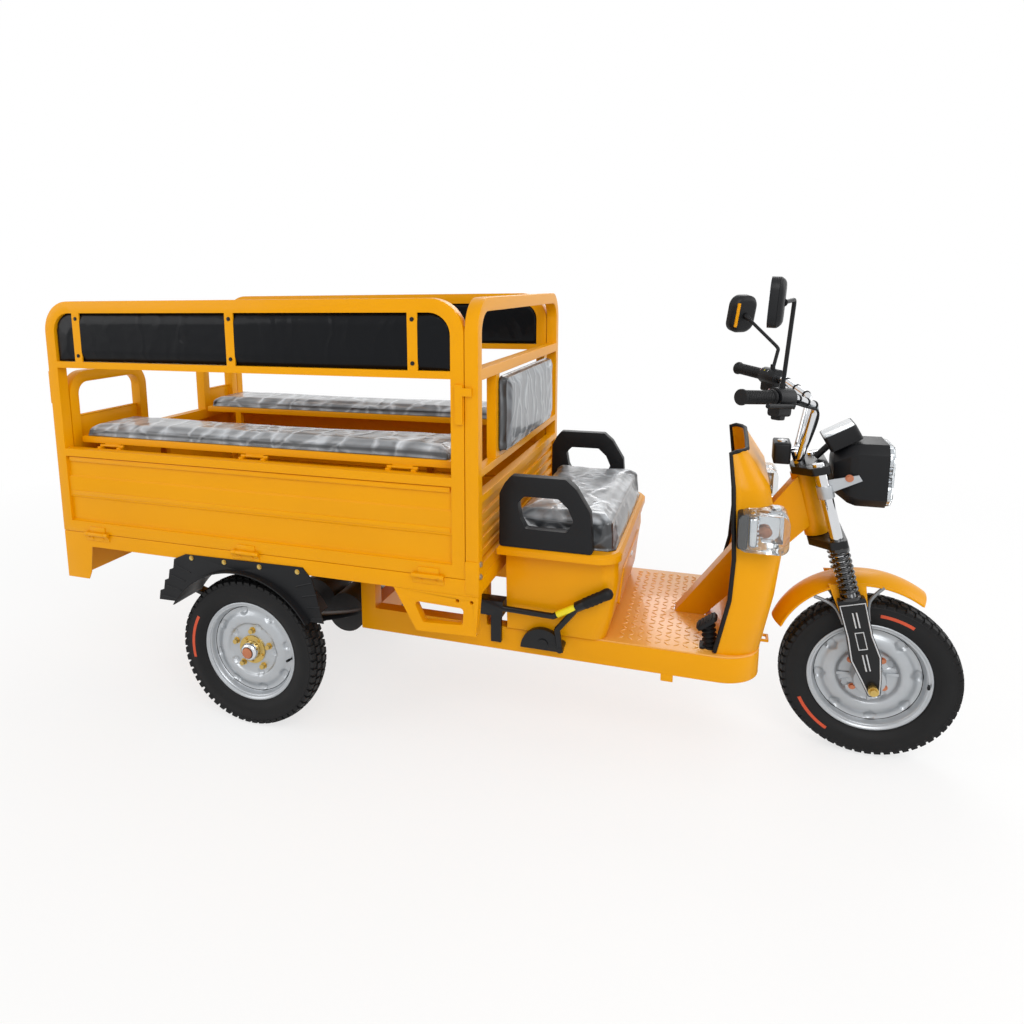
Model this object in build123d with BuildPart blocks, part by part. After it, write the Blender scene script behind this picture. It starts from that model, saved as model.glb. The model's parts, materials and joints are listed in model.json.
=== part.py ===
from build123d import *
import os
from math import cos, radians, sin

os.makedirs("parts", exist_ok=True)

# Electric cargo and passenger tricycle. +X is forward, +Y is its left side and +Z is up.
# The origin is on the ground, midway along and across the whole vehicle. Millimetres.
SIDES = (("right", -1), ("left", 1))

# Wheels
wheelbase = 1840.0
track = 948.0
rear_tyre_r = 250.0
front_tyre_r = 245.0
tyre_half = 47.0
crown_half = 29.0
tread_faces = 60
flank_wall = 3.0
bead_r = 152.0
rim_half = 31.0
rim_lip_r = 166.5
rim_wall = 3.5
disc_wall = 6.0
running_gap = 0.3

# Bed and its gates
bed_rear = 713.0
bed_front = 785.0
bed_half = 528.0
base_z = 548.0
base_h = 49.0
gate_h = 781.0
tube = 38.0
hoop_r = 100.0
gate_gap = 2.0
panel_h = 290.0
panel_rail = 25.0
pad_band = 217.0
rail_h = 21.0
sheet = 2.5
strap_w = 30.0
strap_t = 5.0
pad_t = 24.0
tailgate_gap = 5.0
tail_panel_h = 308.0
tail_hoop_h = 543.0
tail_hoop_r = 80.0
hinge_r = 7.0
hinge_stand = 8.0
hinge_len = 64.0
knuckle_len = 16.0
pin_r = 3.0
leaf_h = 24.0
leaf_t = 3.0

# Benches that fold up into the window of each gate
bench_axis_in = 53.0
bench_slot = 14.0
bench_hinge_r = 5.0
bench_clear = 24.0
bench_end = 65.0
bench_rail = 21.0
bench_pad = 34.0
bench_leg = 25.0

# Driver's seat, floor and frame
floor_z = 380.0
floor_t = 4.0
frame_h = 80.0
frame_half = 320.0
frame_wall = 50.0
frame_rear = 318.0
nose_setback = 312.0
frame_corner = 110.0
rail_half = 48.0
box_h = 251.0
box_wall = 3.0
lid_t = 26.0
lid_over = 68.0
lid_len = 353.0
seat_gap = 12.0
arm_t = 34.0
arm_h = 212.0
cushion_t = 92.0
pad_gap = 6.0

# Steering
rake = 15.5
steer_offset = 45.0
leg_y = 88.0
leg_t = 30.0
tube_r = 17.0
stem_r = 19.7
head_r = 32.0
leg_top = 272.0
lower_clamp = 428.0
clamp_t = 22.0
head_low = 452.0
head_high = 646.0
bar_r = 11.0
grip_r = 17.0
axle_r = 7.5
axle_tube_r = 28.0

# Leg shield
shield_wall = 2.5

# Positions that follow from the sizes above
rear_reach = bed_rear + hinge_stand + hinge_r
rear_x = -(wheelbase + front_tyre_r - rear_reach) / 2
front_x = rear_x + wheelbase
half_track = track / 2
hinge_z = base_z + base_h
bed_top = hinge_z + gate_h
panel_top = hinge_z + panel_h
rail_z = bed_top - pad_band
tail_panel_top = hinge_z + tail_panel_h
tail_hoop_top = hinge_z + tail_hoop_h
bench_depth = rail_z - panel_top - bench_clear
frame_z = floor_z - frame_h
box_top = floor_z + box_h
lid_half = frame_half + lid_over
leaf_z = rear_tyre_r + axle_tube_r + running_gap
eye_z = leaf_z + 70.0
gate_back = rear_x - bed_rear
bed_nose = rear_x + bed_front
nose_x = front_x - nose_setback
seat_x = (bed_nose + seat_gap, bed_nose + seat_gap + lid_len)
gate_nose = bed_nose - tube - gate_gap
gate_low = hinge_z + gate_gap / 2
base_top = hinge_z - gate_gap / 2
inner_half = bed_half - tube
hinge_y = bed_half + hinge_stand
tail_hinge_x = gate_back - hinge_stand
bench_y = bed_half - bench_axis_in
bench_axis_z = panel_top + bench_slot / 2
bench_z = panel_top + bench_slot
gate_hinges = (rear_x - 564, rear_x + 26, rear_x + 636)
tail_hinges = (-330.0, 0.0, 330.0)
bench_hinges = (rear_x - 520, rear_x + 40, rear_x + 540)
straps = (rear_x - 580, rear_x + 9, rear_x + 598)
fwd = Vector(cos(radians(rake)), 0, sin(radians(rake)))
up = Vector(-sin(radians(rake)), 0, cos(radians(rake)))
axle_point = Vector(front_x, 0, front_tyre_r)


def export(builder, name):
    builder.part.label = name
    export_step(builder.part, f"parts/{name}.step")


def bar(x, y, z, mode=Mode.ADD):
    middle = ((x[0] + x[1]) / 2, (y[0] + y[1]) / 2, (z[0] + z[1]) / 2)
    with Locations(middle):
        Box(abs(x[1] - x[0]), abs(y[1] - y[0]), abs(z[1] - z[0]), mode=mode)


def rod(start, end, radius, mode=Mode.ADD):
    run = Vector(*end) - Vector(*start)
    with BuildSketch(Plane(origin=start, z_dir=run)) as section:
        Circle(radius)
    extrude(section.sketch, amount=run.length, mode=mode)


def slab(outline, plane, amount, corner=0.0, mode=Mode.ADD):
    with BuildSketch(plane) as face:
        with BuildLine():
            Polyline(*outline, close=True)
        make_face()
        if corner:
            fillet(face.vertices(), corner)
    extrude(face.sketch, amount=amount, mode=mode)


def hoop(plane, width, height, centre, corner, amount):
    with BuildSketch(plane) as ring:
        with Locations(centre):
            Rectangle(width, height)
        fillet(ring.vertices().group_by(Axis.Y)[-1], corner)
        offset(amount=-tube, mode=Mode.SUBTRACT)
    extrude(ring.sketch, amount=amount)


def barrel(centre, direction, radius, length):
    half = Vector(*direction) * (length / 2)
    rod(Vector(*centre) - half, Vector(*centre) + half, radius)
    rod(Vector(*centre) - half, Vector(*centre) + half, pin_r + running_gap, Mode.SUBTRACT)


def knuckles(centre, direction, radius, length):
    half = Vector(*direction) * (length / 2 + running_gap)
    end = Vector(*direction) * (length / 2 + running_gap + knuckle_len)
    rod(Vector(*centre) - half, Vector(*centre) - end, radius)
    rod(Vector(*centre) + half, Vector(*centre) + end, radius)
    rod(Vector(*centre) - end, Vector(*centre) + end, pin_r)


def fork_point(ahead, along, y=0.0):
    return axle_point + fwd * ahead + up * along + Vector(0, y, 0)


def from_axle(x, y, z):
    return axle_point + Vector(x, y, z)


def across(along, ahead=0.0):
    return Plane(origin=fork_point(ahead, along), x_dir=fwd, z_dir=up)


def beside(y):
    return Plane(origin=fork_point(0, 0, y), x_dir=fwd, z_dir=(0, -1, 0))


# A lofted form whose level sections are square at the back and rounded at the front corners.
# Rows hold: height, back, front, half width, front corner radius.
def rounded_loft(rows, grow=0.0, back=0.0, mode=Mode.ADD):
    sections = []
    for height, x_back, x_front, half, corner in rows:
        left = x_back - grow - back
        right = x_front + grow
        wide = half + grow
        turn = corner + grow
        with BuildSketch(Plane.XY.offset(height)) as section:
            with BuildLine():
                Line((left, wide), (right - turn, wide))
                RadiusArc((right - turn, wide), (right, wide - turn), turn)
                Line((right, wide - turn), (right, turn - wide))
                RadiusArc((right, turn - wide), (right - turn, -wide), turn)
                Line((right - turn, -wide), (left, -wide))
                Line((left, -wide), (left, wide))
            make_face()
        sections.append(section.sketch)
    loft(sections, ruled=True, mode=mode)


# Main frame: a ring of box beams under the floor, cross beams, uprights and the tow loop
frame_start = rear_x + frame_rear
upright_x = (frame_start, bed_nose - tube - frame_wall)
rail_in = frame_half - frame_wall
beam_w = 40.0
down_half = 35.0
down_foot = (nose_x - 245.0, nose_x - 157.0)
down_low = fork_point(-steer_offset - 14, head_low + 34)
down_high = fork_point(-steer_offset - 14, head_high - 8)
down = ((down_foot[0], floor_z - floor_t), (down_foot[1], floor_z - floor_t),
        (down_low.X, down_low.Z), (down_high.X, down_high.Z))
tow_t = 8.0
tow_half = 24.0
tow_reach = 36.0
with BuildPart() as main_frame:
    with BuildSketch(Plane.XY.offset(frame_z)) as ring:
        with Locations(((frame_start + nose_x) / 2, 0)):
            Rectangle(nose_x - frame_start, 2 * frame_half)
        fillet(ring.vertices().group_by(Axis.X)[-1], frame_corner)
        offset(amount=-frame_wall, mode=Mode.SUBTRACT)
    extrude(amount=frame_h - floor_t)
    for side, s in SIDES:
        for x in upright_x:
            bar((x, x + frame_wall), (s * rail_in, s * frame_half), (frame_z, base_z))
    for x in (seat_x[0] + 3, seat_x[1] - 70, down_foot[0] + 17):
        bar((x, x + beam_w), (-frame_half, frame_half), (frame_z, floor_z - floor_t))
    tow_z = (frame_z + 10, frame_z + 10 + tow_t)
    tow_x = (nose_x - tow_t, nose_x + tow_reach)
    bar(tow_x, (-tow_half, tow_half), tow_z)
    bar((tow_x[0], tow_x[1] - tow_t), (tow_t - tow_half, tow_half - tow_t), tow_z, Mode.SUBTRACT)
    bar((tow_x[0] - tow_t, tow_x[0] + tow_t), (-tow_half, tow_half), tow_z)
export(main_frame, "main_frame")

# Down tube from the frame to the head tube that the stem turns in
with BuildPart() as down_tube:
    slab(down, Plane.XZ.offset(-down_half), 2 * down_half)
    rod(fork_point(-steer_offset, head_low), fork_point(-steer_offset, head_high), head_r)
    rod(fork_point(-steer_offset, head_low), fork_point(-steer_offset, head_high),
        stem_r + running_gap, Mode.SUBTRACT)
export(down_tube, "down_tube")

# Rear rails under the bed, with cross beams and the hangers of the springs
hanger_x = rear_x - 400.0
rail_x = (gate_back + beam_w, frame_start)
with BuildPart() as rear_rails:
    for side, s in SIDES:
        bar(rail_x, (s * rail_in, s * frame_half), (base_z - rail_half, base_z))
        bar((hanger_x - beam_w / 2, hanger_x + beam_w / 2), (s * rail_in, s * frame_half), (eye_z - 4, base_z))
    for x in (rail_x[0], hanger_x - beam_w / 2, frame_start - beam_w):
        bar((x, x + beam_w), (-frame_half, frame_half), (base_z - rail_half, base_z))
export(rear_rails, "rear_rails")

# Floor plate on the frame ring, from the seat box to the rounded nose
plate_rear = seat_x[1] - 70.0
with BuildPart() as floor_plate:
    with BuildSketch(Plane.XY.offset(floor_z - floor_t)) as sheet_face:
        with Locations(((plate_rear + nose_x) / 2, 0)):
            Rectangle(nose_x - plate_rear, 2 * frame_half)
        fillet(sheet_face.vertices().group_by(Axis.X)[-1], frame_corner)
    extrude(amount=floor_t)
    bar((down_foot[0] - gate_gap, down_foot[1] + 6), (-down_half - gate_gap, down_half + gate_gap),
        (floor_z - floor_t, floor_z), Mode.SUBTRACT)
export(floor_plate, "floor_plate")

# Leg shield: a sheet bent round the front, open to the rear
# Rows hold: height, back, front, half width, front corner radius.
shield_rows = (
    (floor_z, nose_x - 120, nose_x, frame_half - 14, 100),
    (floor_z + 160, nose_x - 88, nose_x + 30, frame_half - 18, 100),
    (floor_z + 275, nose_x - 82, nose_x + 44, frame_half - 28, 104),
    (floor_z + 470, nose_x - 92, nose_x + 2, frame_half - 50, 80),
    (floor_z + 566, nose_x - 104, nose_x - 60, frame_half - 92, 40),
)
with BuildPart() as leg_shield:
    rounded_loft(shield_rows)
    rounded_loft(shield_rows, grow=-shield_wall, back=80, mode=Mode.SUBTRACT)
    bar((nose_x - 38, nose_x + 172), (-down_half - gate_gap, down_half + gate_gap),
        (floor_z + 195, floor_z + 420), Mode.SUBTRACT)
export(leg_shield, "leg_shield")

# Turn signal lamps on the shield's sides
lamp_reach = frame_half + 18.0
lamp_size = (126.0, 120.0, 106.0)
with BuildPart() as turn_lamps:
    for side, s in SIDES:
        with Locations((nose_x - 13, s * (lamp_reach - lamp_size[1] / 2), floor_z + 368)):
            lamp = Box(*lamp_size)
        fillet(lamp.edges().filter_by(Axis.Y), 24)
    rounded_loft(shield_rows, grow=running_gap, back=200, mode=Mode.SUBTRACT)
export(turn_lamps, "turn_lamps")

# Seat box, hollow and open at the top
# Rows hold: height, back, front, half width, front corner radius.
box_rows = (
    (floor_z, seat_x[0] + 18, seat_x[1] - 42, frame_half + 10, 40),
    (floor_z + 75, seat_x[0] + 18, seat_x[1] - 24, frame_half + 18, 40),
    (floor_z + 180, seat_x[0] + 18, seat_x[1] - 10, frame_half + 25, 45),
    (box_top, seat_x[0] + 18, seat_x[1] - 12, frame_half + 25, 50),
)
hollow_rows = [(z + box_wall, back + 2 * box_wall, front, half, turn) for z, back, front, half, turn in box_rows]
lid_low = box_top + running_gap
lid_hinge_x = box_rows[-1][2] + bench_hinge_r + 1.0
lid_hinge_z = lid_low - bench_hinge_r - running_gap
lid_hinges = (-190.0, 190.0)
with BuildPart() as seat_box:
    rounded_loft(box_rows)
    rounded_loft(hollow_rows, grow=-box_wall, mode=Mode.SUBTRACT)
    for y in lid_hinges:
        knuckles((lid_hinge_x, y, lid_hinge_z), (0, 1, 0), bench_hinge_r, hinge_len)
        for end in (-1, 1):
            knuckle_y = y + end * (hinge_len + knuckle_len) / 2
            bar((lid_hinge_x - bench_hinge_r - 3, lid_hinge_x),
                (knuckle_y - knuckle_len / 2 + 1, knuckle_y + knuckle_len / 2 - 1),
                (lid_hinge_z - bench_hinge_r, lid_hinge_z - 1))
export(seat_box, "seat_box")

# Battery pack in the seat box
battery_h = 175.0
battery_half = frame_half - 40.0
with BuildPart() as battery_pack:
    bar((seat_x[0] + 43, seat_x[1] - 80), (-battery_half, battery_half),
        (floor_z + box_wall, floor_z + box_wall + battery_h))
export(battery_pack, "battery_pack")

# Seat lid with its hinge along the front, the cushion and the armrests
lid_top = lid_low + lid_t
lid_rows = (
    (lid_low, seat_x[0], seat_x[1], lid_half, 70),
    (lid_top - 8, seat_x[0], seat_x[1], lid_half, 70),
    (lid_top, seat_x[0] + 6, seat_x[1] - 8, lid_half - 8, 66),
)
with BuildPart() as seat_lid:
    rounded_loft(lid_rows)
    for y in lid_hinges:
        barrel((lid_hinge_x, y, lid_hinge_z), (0, 1, 0), bench_hinge_r, hinge_len)
        bar((lid_hinge_x - 3, lid_hinge_x + 3), (y - hinge_len / 2, y + hinge_len / 2),
            (lid_hinge_z + pin_r + 1, lid_low + 1))
export(seat_lid, "seat_lid")

cushion_half = lid_half - arm_t - pad_gap - 4
with BuildPart() as seat_cushion:
    bar((seat_x[0] + 18, seat_x[1] - 14), (-cushion_half, cushion_half),
        (lid_top + running_gap, lid_top + cushion_t))
    fillet(seat_cushion.edges().filter_by(Axis.Z), 30)
    fillet(seat_cushion.faces().sort_by(Axis.Z)[-1].edges(), 18)
export(seat_cushion, "seat_cushion")

arm_rear = seat_x[0] + 7.0
arm_outline = ((0, 0), (0, 158), (16, 190), (34, arm_h), (192, arm_h), (222, 186), (262, 120), (272, 0))
arm_window = ((54, 132), (74, 154), (172, 154), (200, 128), (216, 92), (198, 58), (78, 58), (62, 88))
with BuildPart() as armrests:
    for side, s in SIDES:
        outer = Plane(origin=(arm_rear, s * (lid_half - 4), lid_top + running_gap),
                      x_dir=(1, 0, 0), z_dir=(0, -1, 0))
        slab(arm_outline, outer, s * arm_t, 9.0)
        slab(arm_window, outer, s * arm_t, 9.0, Mode.SUBTRACT)
export(armrests, "armrests")

# Step brackets under the front of the bed, each with a window and two bolt holes
# Outline rows hold: distance from the bed's nose, height from the base's lower face.
step_outline = ((-259, 0), (0, 0), (-8, -117), (-189, -124))
step_window = ((-197, -34), (-45, -38), (-48, -88), (-168, -96))
step_t = 30.0
step_bolts = (-63.0, -21.0)
step_bolt_z = base_z - 17.0
step_bolt_r = 5.5
with BuildPart() as step_brackets:
    for side, s in SIDES:
        step_face = Plane(origin=(bed_nose, s * bed_half, base_z), x_dir=(1, 0, 0), z_dir=(0, -1, 0))
        slab(step_outline, step_face, s * step_t)
        slab(step_window, step_face, s * step_t, 10.0, Mode.SUBTRACT)
        for x in step_bolts:
            rod((bed_nose + x, s * bed_half, step_bolt_z), (bed_nose + x, s * (bed_half - step_t), step_bolt_z),
                step_bolt_r, Mode.SUBTRACT)
export(step_brackets, "step_brackets")

# Bed base: perimeter beams, floor and rear bumper
bumper_z = base_z - 118.0
with BuildPart() as bed_base:
    with BuildSketch(Plane.XY.offset(base_z)):
        with Locations((rear_x + (bed_front - bed_rear) / 2, 0)):
            Rectangle(bed_front + bed_rear, 2 * bed_half)
            Rectangle(bed_front + bed_rear - 2 * tube, 2 * inner_half, mode=Mode.SUBTRACT)
    extrude(amount=base_top - base_z)
    bar((gate_back + tube / 2, bed_nose - tube / 2), (-inner_half - 4, inner_half + 4), (base_top - 9, base_top - 5))
    for i in range(1, 5):
        x = gate_back + i * (bed_front + bed_rear) / 5
        bar((x - 20, x + 20), (-inner_half - 4, inner_half + 4), (base_z, base_top - 7))
    bar((gate_back, gate_back + tube), (-bed_half, bed_half), (bumper_z, base_z + 4))
    for side, s in SIDES:
        gusset = ((gate_back, base_z + 4), (gate_back + 118, base_z + 4), (gate_back + 104, bumper_z + 26),
                  (gate_back + 92, bumper_z), (gate_back, bumper_z))
        slab(gusset, Plane.XZ.offset(-s * bed_half), s * 4.0)
export(bed_base, "bed_base")

# Fixed halves of the gate hinges: a leaf on the base, two knuckles and the pin
leaf_half = hinge_len / 2 + knuckle_len
leaf_top = hinge_z - hinge_r - gate_gap
with BuildPart() as gate_hinge_leaves:
    for side, s in SIDES:
        for x in gate_hinges:
            knuckles((x, s * hinge_y, hinge_z), (1, 0, 0), hinge_r, hinge_len)
            bar((x - leaf_half, x + leaf_half), (s * bed_half, s * (bed_half + leaf_t)), (hinge_z - leaf_h, leaf_top))
            for end in (-1, 1):
                knuckle_x = x + end * (hinge_len + knuckle_len) / 2
                bar((knuckle_x - knuckle_len / 2 + 1, knuckle_x + knuckle_len / 2 - 1),
                    (s * bed_half, s * hinge_y), (leaf_top - 2, hinge_z - 1))
    for y in tail_hinges:
        knuckles((tail_hinge_x, y, hinge_z), (0, 1, 0), hinge_r, hinge_len)
        bar((gate_back - leaf_t, gate_back), (y - leaf_half, y + leaf_half), (hinge_z - leaf_h, leaf_top))
        for end in (-1, 1):
            knuckle_y = y + end * (hinge_len + knuckle_len) / 2
            bar((gate_back, tail_hinge_x), (knuckle_y - knuckle_len / 2 + 1, knuckle_y + knuckle_len / 2 - 1),
                (leaf_top - 2, hinge_z - 1))
export(gate_hinge_leaves, "gate_hinge_leaves")

# Bed front frame: a hoop with bars, a ribbed lower panel and the supports of the driver's backrest
support_y = 300.0
rib_count = 5
front_low = base_top
with BuildPart() as bed_front_frame:
    hoop(Plane.YZ.offset(bed_nose - tube), 2 * bed_half, bed_top - front_low, (0, (bed_top + front_low) / 2),
         hoop_r, tube)
    bar((bed_nose - tube, bed_nose), (-inner_half - 4, inner_half + 4), (rail_z - 5, rail_z + 26))
    for low in (panel_top, panel_top - 75):
        bar((bed_nose - tube + 8, bed_nose), (-inner_half - 4, inner_half + 4), (low, low + 22))
    for side, s in SIDES:
        bar((bed_nose - tube + 6, bed_nose - 4), (s * support_y, s * (support_y + 40)), (panel_top + 4, rail_z))
    bar((bed_nose - 22, bed_nose - 22 + sheet), (-inner_half - 4, inner_half + 4), (front_low + 4, panel_top - 70))
    rib_step = (panel_top - 75 - front_low - tube) / rib_count
    for i in range(rib_count):
        low = front_low + tube + rib_step * (i + 0.2)
        bar((bed_nose - 22, bed_nose - 12), (-inner_half - 4, inner_half + 4), (low, low + rib_step * 0.6))
export(bed_front_frame, "bed_front_frame")

# Driver's backrest pad on those supports
back_t = 26.0
with BuildPart() as driver_backrest:
    bar((bed_nose + running_gap - 4, bed_nose + back_t), (-support_y - 20, support_y + 20), (panel_top + 28, rail_z - 8))
    fillet(driver_backrest.edges().filter_by(Axis.X), 22)
export(driver_backrest, "driver_backrest")

# Side gates: hoop, rail, straps, ribbed panel, toggle latches and their half of the hinges
# Panel rows hold: share of the panel's height, depth behind the outer face.
panel_rows = ((0.07, 3), (0.13, 3), (0.15, 12), (0.41, 12), (0.43, 7), (0.66, 7), (0.68, 12), (0.90, 12), (0.92, 3),
              (1, 3))
latch_h = 108.0
pad_out = strap_t + running_gap
for side, s in SIDES:
    gate_face = Plane.XZ.offset(-s * bed_half)
    gate_mid = ((gate_back + gate_nose) / 2, (gate_low + bed_top) / 2)
    gate_y = (s * bed_half, s * inner_half)
    gate_span = (gate_back + tube / 2, gate_nose - tube / 2)
    with BuildPart() as side_gate:
        hoop(gate_face, gate_nose - gate_back, bed_top - gate_low, gate_mid, hoop_r, s * tube)
        bar(gate_span, gate_y, (rail_z, rail_z + rail_h))
        bar(gate_span, gate_y, (panel_top - panel_rail, panel_top))
        for x in straps:
            bar((x - strap_w / 2, x + strap_w / 2), (s * bed_half, s * (bed_half - strap_t)),
                (rail_z + 4, bed_top - tube + 4))
        face = [(s * (bed_half - depth), hinge_z + share * panel_h) for share, depth in panel_rows]
        back = [(s * (bed_half - depth - 8), hinge_z + share * panel_h) for share, depth in reversed(panel_rows)]
        slab(face + back, Plane.YZ.offset(gate_span[0]), gate_span[1] - gate_span[0])
        for x in gate_hinges:
            bar((x - hinge_len / 2, x + hinge_len / 2), (s * (bed_half - 2), s * hinge_y),
                (hinge_z + gate_gap, hinge_z + 5))
            bar((x - hinge_len / 2, x + hinge_len / 2), (s * (bed_half - 2), s * (bed_half + leaf_t)),
                (hinge_z + gate_gap, hinge_z + leaf_h))
            barrel((x, s * hinge_y, hinge_z), (1, 0, 0), hinge_r, hinge_len)
        for x in bench_hinges:
            knuckles((x, s * bench_y, bench_axis_z), (1, 0, 0), bench_hinge_r, hinge_len)
            for end in (-1, 1):
                knuckle_x = x + end * (hinge_len + knuckle_len) / 2
                bar((knuckle_x - knuckle_len / 2 + 1, knuckle_x + knuckle_len / 2 - 1),
                    (s * (inner_half + 4), s * bench_y), (panel_top - 2, bench_axis_z - 1))
                bar((knuckle_x - knuckle_len / 2 + 1, knuckle_x + knuckle_len / 2 - 1),
                    (s * (inner_half + 4), s * (bench_y - 2)), (panel_top - 5, panel_top + 2))
        latch_z = rail_z - 122.0
        bar((gate_nose - 24, gate_nose - 2), (s * (bed_half - 2), s * (bed_half + 8)), (latch_z, latch_z + latch_h))
        bar((gate_nose - 14, gate_nose + 24), (s * (bed_half + 2), s * (bed_half + 8)),
            (latch_z + latch_h - 30, latch_z + latch_h - 8))
        bar((gate_back - 10, gate_back + 2), (s * (bed_half - 6), s * (inner_half + 6)), (latch_z, latch_z + latch_h))
    export(side_gate, f"side_gate_{side}")
    pad_low = rail_z + rail_h
    with BuildPart() as side_pads:
        with BuildSketch(Plane.XZ.offset(-s * (bed_half - pad_out))) as pad_face:
            with Locations((gate_mid[0], (pad_low + bed_top - tube) / 2)):
                Rectangle(gate_nose - gate_back - 2 * tube, bed_top - tube - pad_low)
            fillet(pad_face.vertices().group_by(Axis.Y)[-1], hoop_r - tube)
            offset(amount=-running_gap, mode=Mode.REPLACE)
        extrude(amount=s * pad_t)
    export(side_pads, f"side_pads_{side}")

    # Bench frame: a rim of channel, cross bars, legs and its half of the bench hinges
    bench_x = (gate_back + bench_end, gate_nose - bench_end + 10)
    bench_mid = ((bench_x[0] + bench_x[1]) / 2, s * (bench_y - bench_depth / 2))
    bench_foot = base_top - 5 + running_gap
    with BuildPart() as bench_frame:
        with BuildSketch(Plane.XY.offset(bench_z)):
            with Locations(bench_mid):
                Rectangle(bench_x[1] - bench_x[0], bench_depth)
                Rectangle(bench_x[1] - bench_x[0] - 60, bench_depth - 60, mode=Mode.SUBTRACT)
        extrude(amount=bench_rail)
        for i in range(1, 4):
            x = bench_x[0] + i * (bench_x[1] - bench_x[0]) / 4
            bar((x - 15, x + 15), (s * (bench_y - 2), s * (bench_y - bench_depth + 2)), (bench_z, bench_z + bench_rail))
        for x in (bench_x[0] + 150, bench_x[1] - 150):
            bar((x - bench_leg / 2, x + bench_leg / 2),
                (s * (bench_y - bench_depth), s * (bench_y - bench_depth + bench_leg)), (bench_foot, bench_z + 4))
        for x in bench_hinges:
            barrel((x, s * bench_y, bench_axis_z), (1, 0, 0), bench_hinge_r, hinge_len)
            bar((x - hinge_len / 2, x + hinge_len / 2), (s * bench_y, s * (bench_y - 4)),
                (bench_axis_z + pin_r + 1, bench_z + 2))
    export(bench_frame, f"bench_frame_{side}")
    with BuildPart() as bench_cushion:
        bar((bench_x[0] + 8, bench_x[1] - 8), (s * (bench_y - 6), s * (bench_y - bench_depth + 6)),
            (bench_z + bench_rail + running_gap, bench_z + bench_rail + bench_pad))
        fillet(bench_cushion.edges().filter_by(Axis.Z), 16)
        chamfer(bench_cushion.faces().sort_by(Axis.Z)[-1].edges(), 10)
    export(bench_cushion, f"bench_cushion_{side}")

# Tailgate: panel between the side gates with two short hoops and an entry between them
tail_half = inner_half - tailgate_gap
tail_hoops = ((-tail_half, -110.0), (245.0, tail_half))
with BuildPart() as tailgate:
    with BuildSketch(Plane.YZ.offset(gate_back)) as ring:
        with Locations((0, (gate_low + tail_panel_top) / 2)):
            Rectangle(2 * tail_half, tail_panel_top - gate_low)
        offset(amount=-tube, mode=Mode.SUBTRACT)
    extrude(amount=tube)
    bar((gate_back + 8, gate_back + 8 + 8), (-tail_half + 4, tail_half - 4), (gate_low + 4, tail_panel_top - 4))
    bar((gate_back + 3, gate_back + 12), (-tail_half + 4, tail_half - 4), (gate_low + 120, gate_low + 186))
    for low, high in tail_hoops:
        hoop(Plane.YZ.offset(gate_back), high - low, tail_hoop_top - tail_panel_top + tube,
             ((low + high) / 2, (tail_hoop_top + tail_panel_top - tube) / 2), tail_hoop_r, tube)
    for y in tail_hinges:
        bar((tail_hinge_x, gate_back + 2), (y - hinge_len / 2, y + hinge_len / 2), (hinge_z + gate_gap, hinge_z + 5))
        bar((gate_back - leaf_t, gate_back + 2), (y - hinge_len / 2, y + hinge_len / 2),
            (hinge_z + gate_gap, hinge_z + leaf_h))
        barrel((tail_hinge_x, y, hinge_z), (0, 1, 0), hinge_r, hinge_len)
export(tailgate, "tailgate")

# Tail lamps on the bumper's rear face
with BuildPart() as tail_lamps:
    for side, s in SIDES:
        bar((gate_back - hinge_stand - hinge_r, gate_back), (s * 330, s * 480), (bumper_z + 24, base_z - 24))
    fillet(tail_lamps.edges().filter_by(Axis.X), 10)
export(tail_lamps, "tail_lamps")

# Rear fenders: curved strips over the tyres with a face that is bolted on the base beams
fender_r = rear_tyre_r + 38.0
fender_t = 4.0
fender_in = half_track - 60.0
fender_out = bed_half + 32.0
fender_low = rear_tyre_r + 150.0
face_low = rear_tyre_r + fender_r - 33.0
# The rear flap's edge climbs in small steps. Points are given from the rear axle.
flap_steps = 4
flap_run = Vector(86, 154) / flap_steps
flap_foot = Vector(-322, fender_low - 2)
flap_edge = []
for i in range(flap_steps):
    corner = flap_foot + flap_run * i
    flap_edge += [(corner.X, corner.Y), (corner.X + 6, corner.Y + 32)]
fender_face = (*flap_edge, (-206, base_z + 18), (226, base_z + 24), (258, base_z - 12), (292, fender_low),
               (226, fender_low), (0, face_low), (-226, fender_low))
with BuildPart() as rear_fenders:
    for side, s in SIDES:
        with BuildSketch(Plane.XZ.offset(-s * fender_out)):
            with Locations((rear_x, rear_tyre_r)):
                Circle(fender_r)
                Circle(fender_r - fender_t, mode=Mode.SUBTRACT)
            with Locations((rear_x, fender_low - fender_r)):
                Rectangle(3 * fender_r, 2 * fender_r, mode=Mode.SUBTRACT)
        extrude(amount=s * (fender_out - fender_in))
        shift = [(rear_x + x, z) for x, z in fender_face]
        slab(shift, Plane.XZ.offset(-s * bed_half), -s * fender_t)
        with BuildSketch(Plane.XZ.offset(-s * (bed_half + fender_t))):
            with Locations((rear_x, rear_tyre_r)):
                Circle(fender_r - fender_t)
        extrude(amount=s * fender_t, mode=Mode.SUBTRACT)
export(rear_fenders, "rear_fenders")

# Rear axle: tube, differential, brake backing plates and wheel spindles
spindle_r = 20.0
diff_r = 85.0
drum_r = 95.0
axle_end = half_track - rim_half - 45.0
with BuildPart() as rear_axle:
    rod((rear_x, -axle_end, rear_tyre_r), (rear_x, axle_end, rear_tyre_r), axle_tube_r)
    rod((rear_x, -60, rear_tyre_r), (rear_x, 60, rear_tyre_r), diff_r)
    for side, s in SIDES:
        rod((rear_x, s * (axle_end - 12), rear_tyre_r), (rear_x, s * (axle_end + 14), rear_tyre_r), drum_r)
        rod((rear_x, s * axle_end, rear_tyre_r), (rear_x, s * (half_track + 20), rear_tyre_r), spindle_r)
export(rear_axle, "rear_axle")

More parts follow.
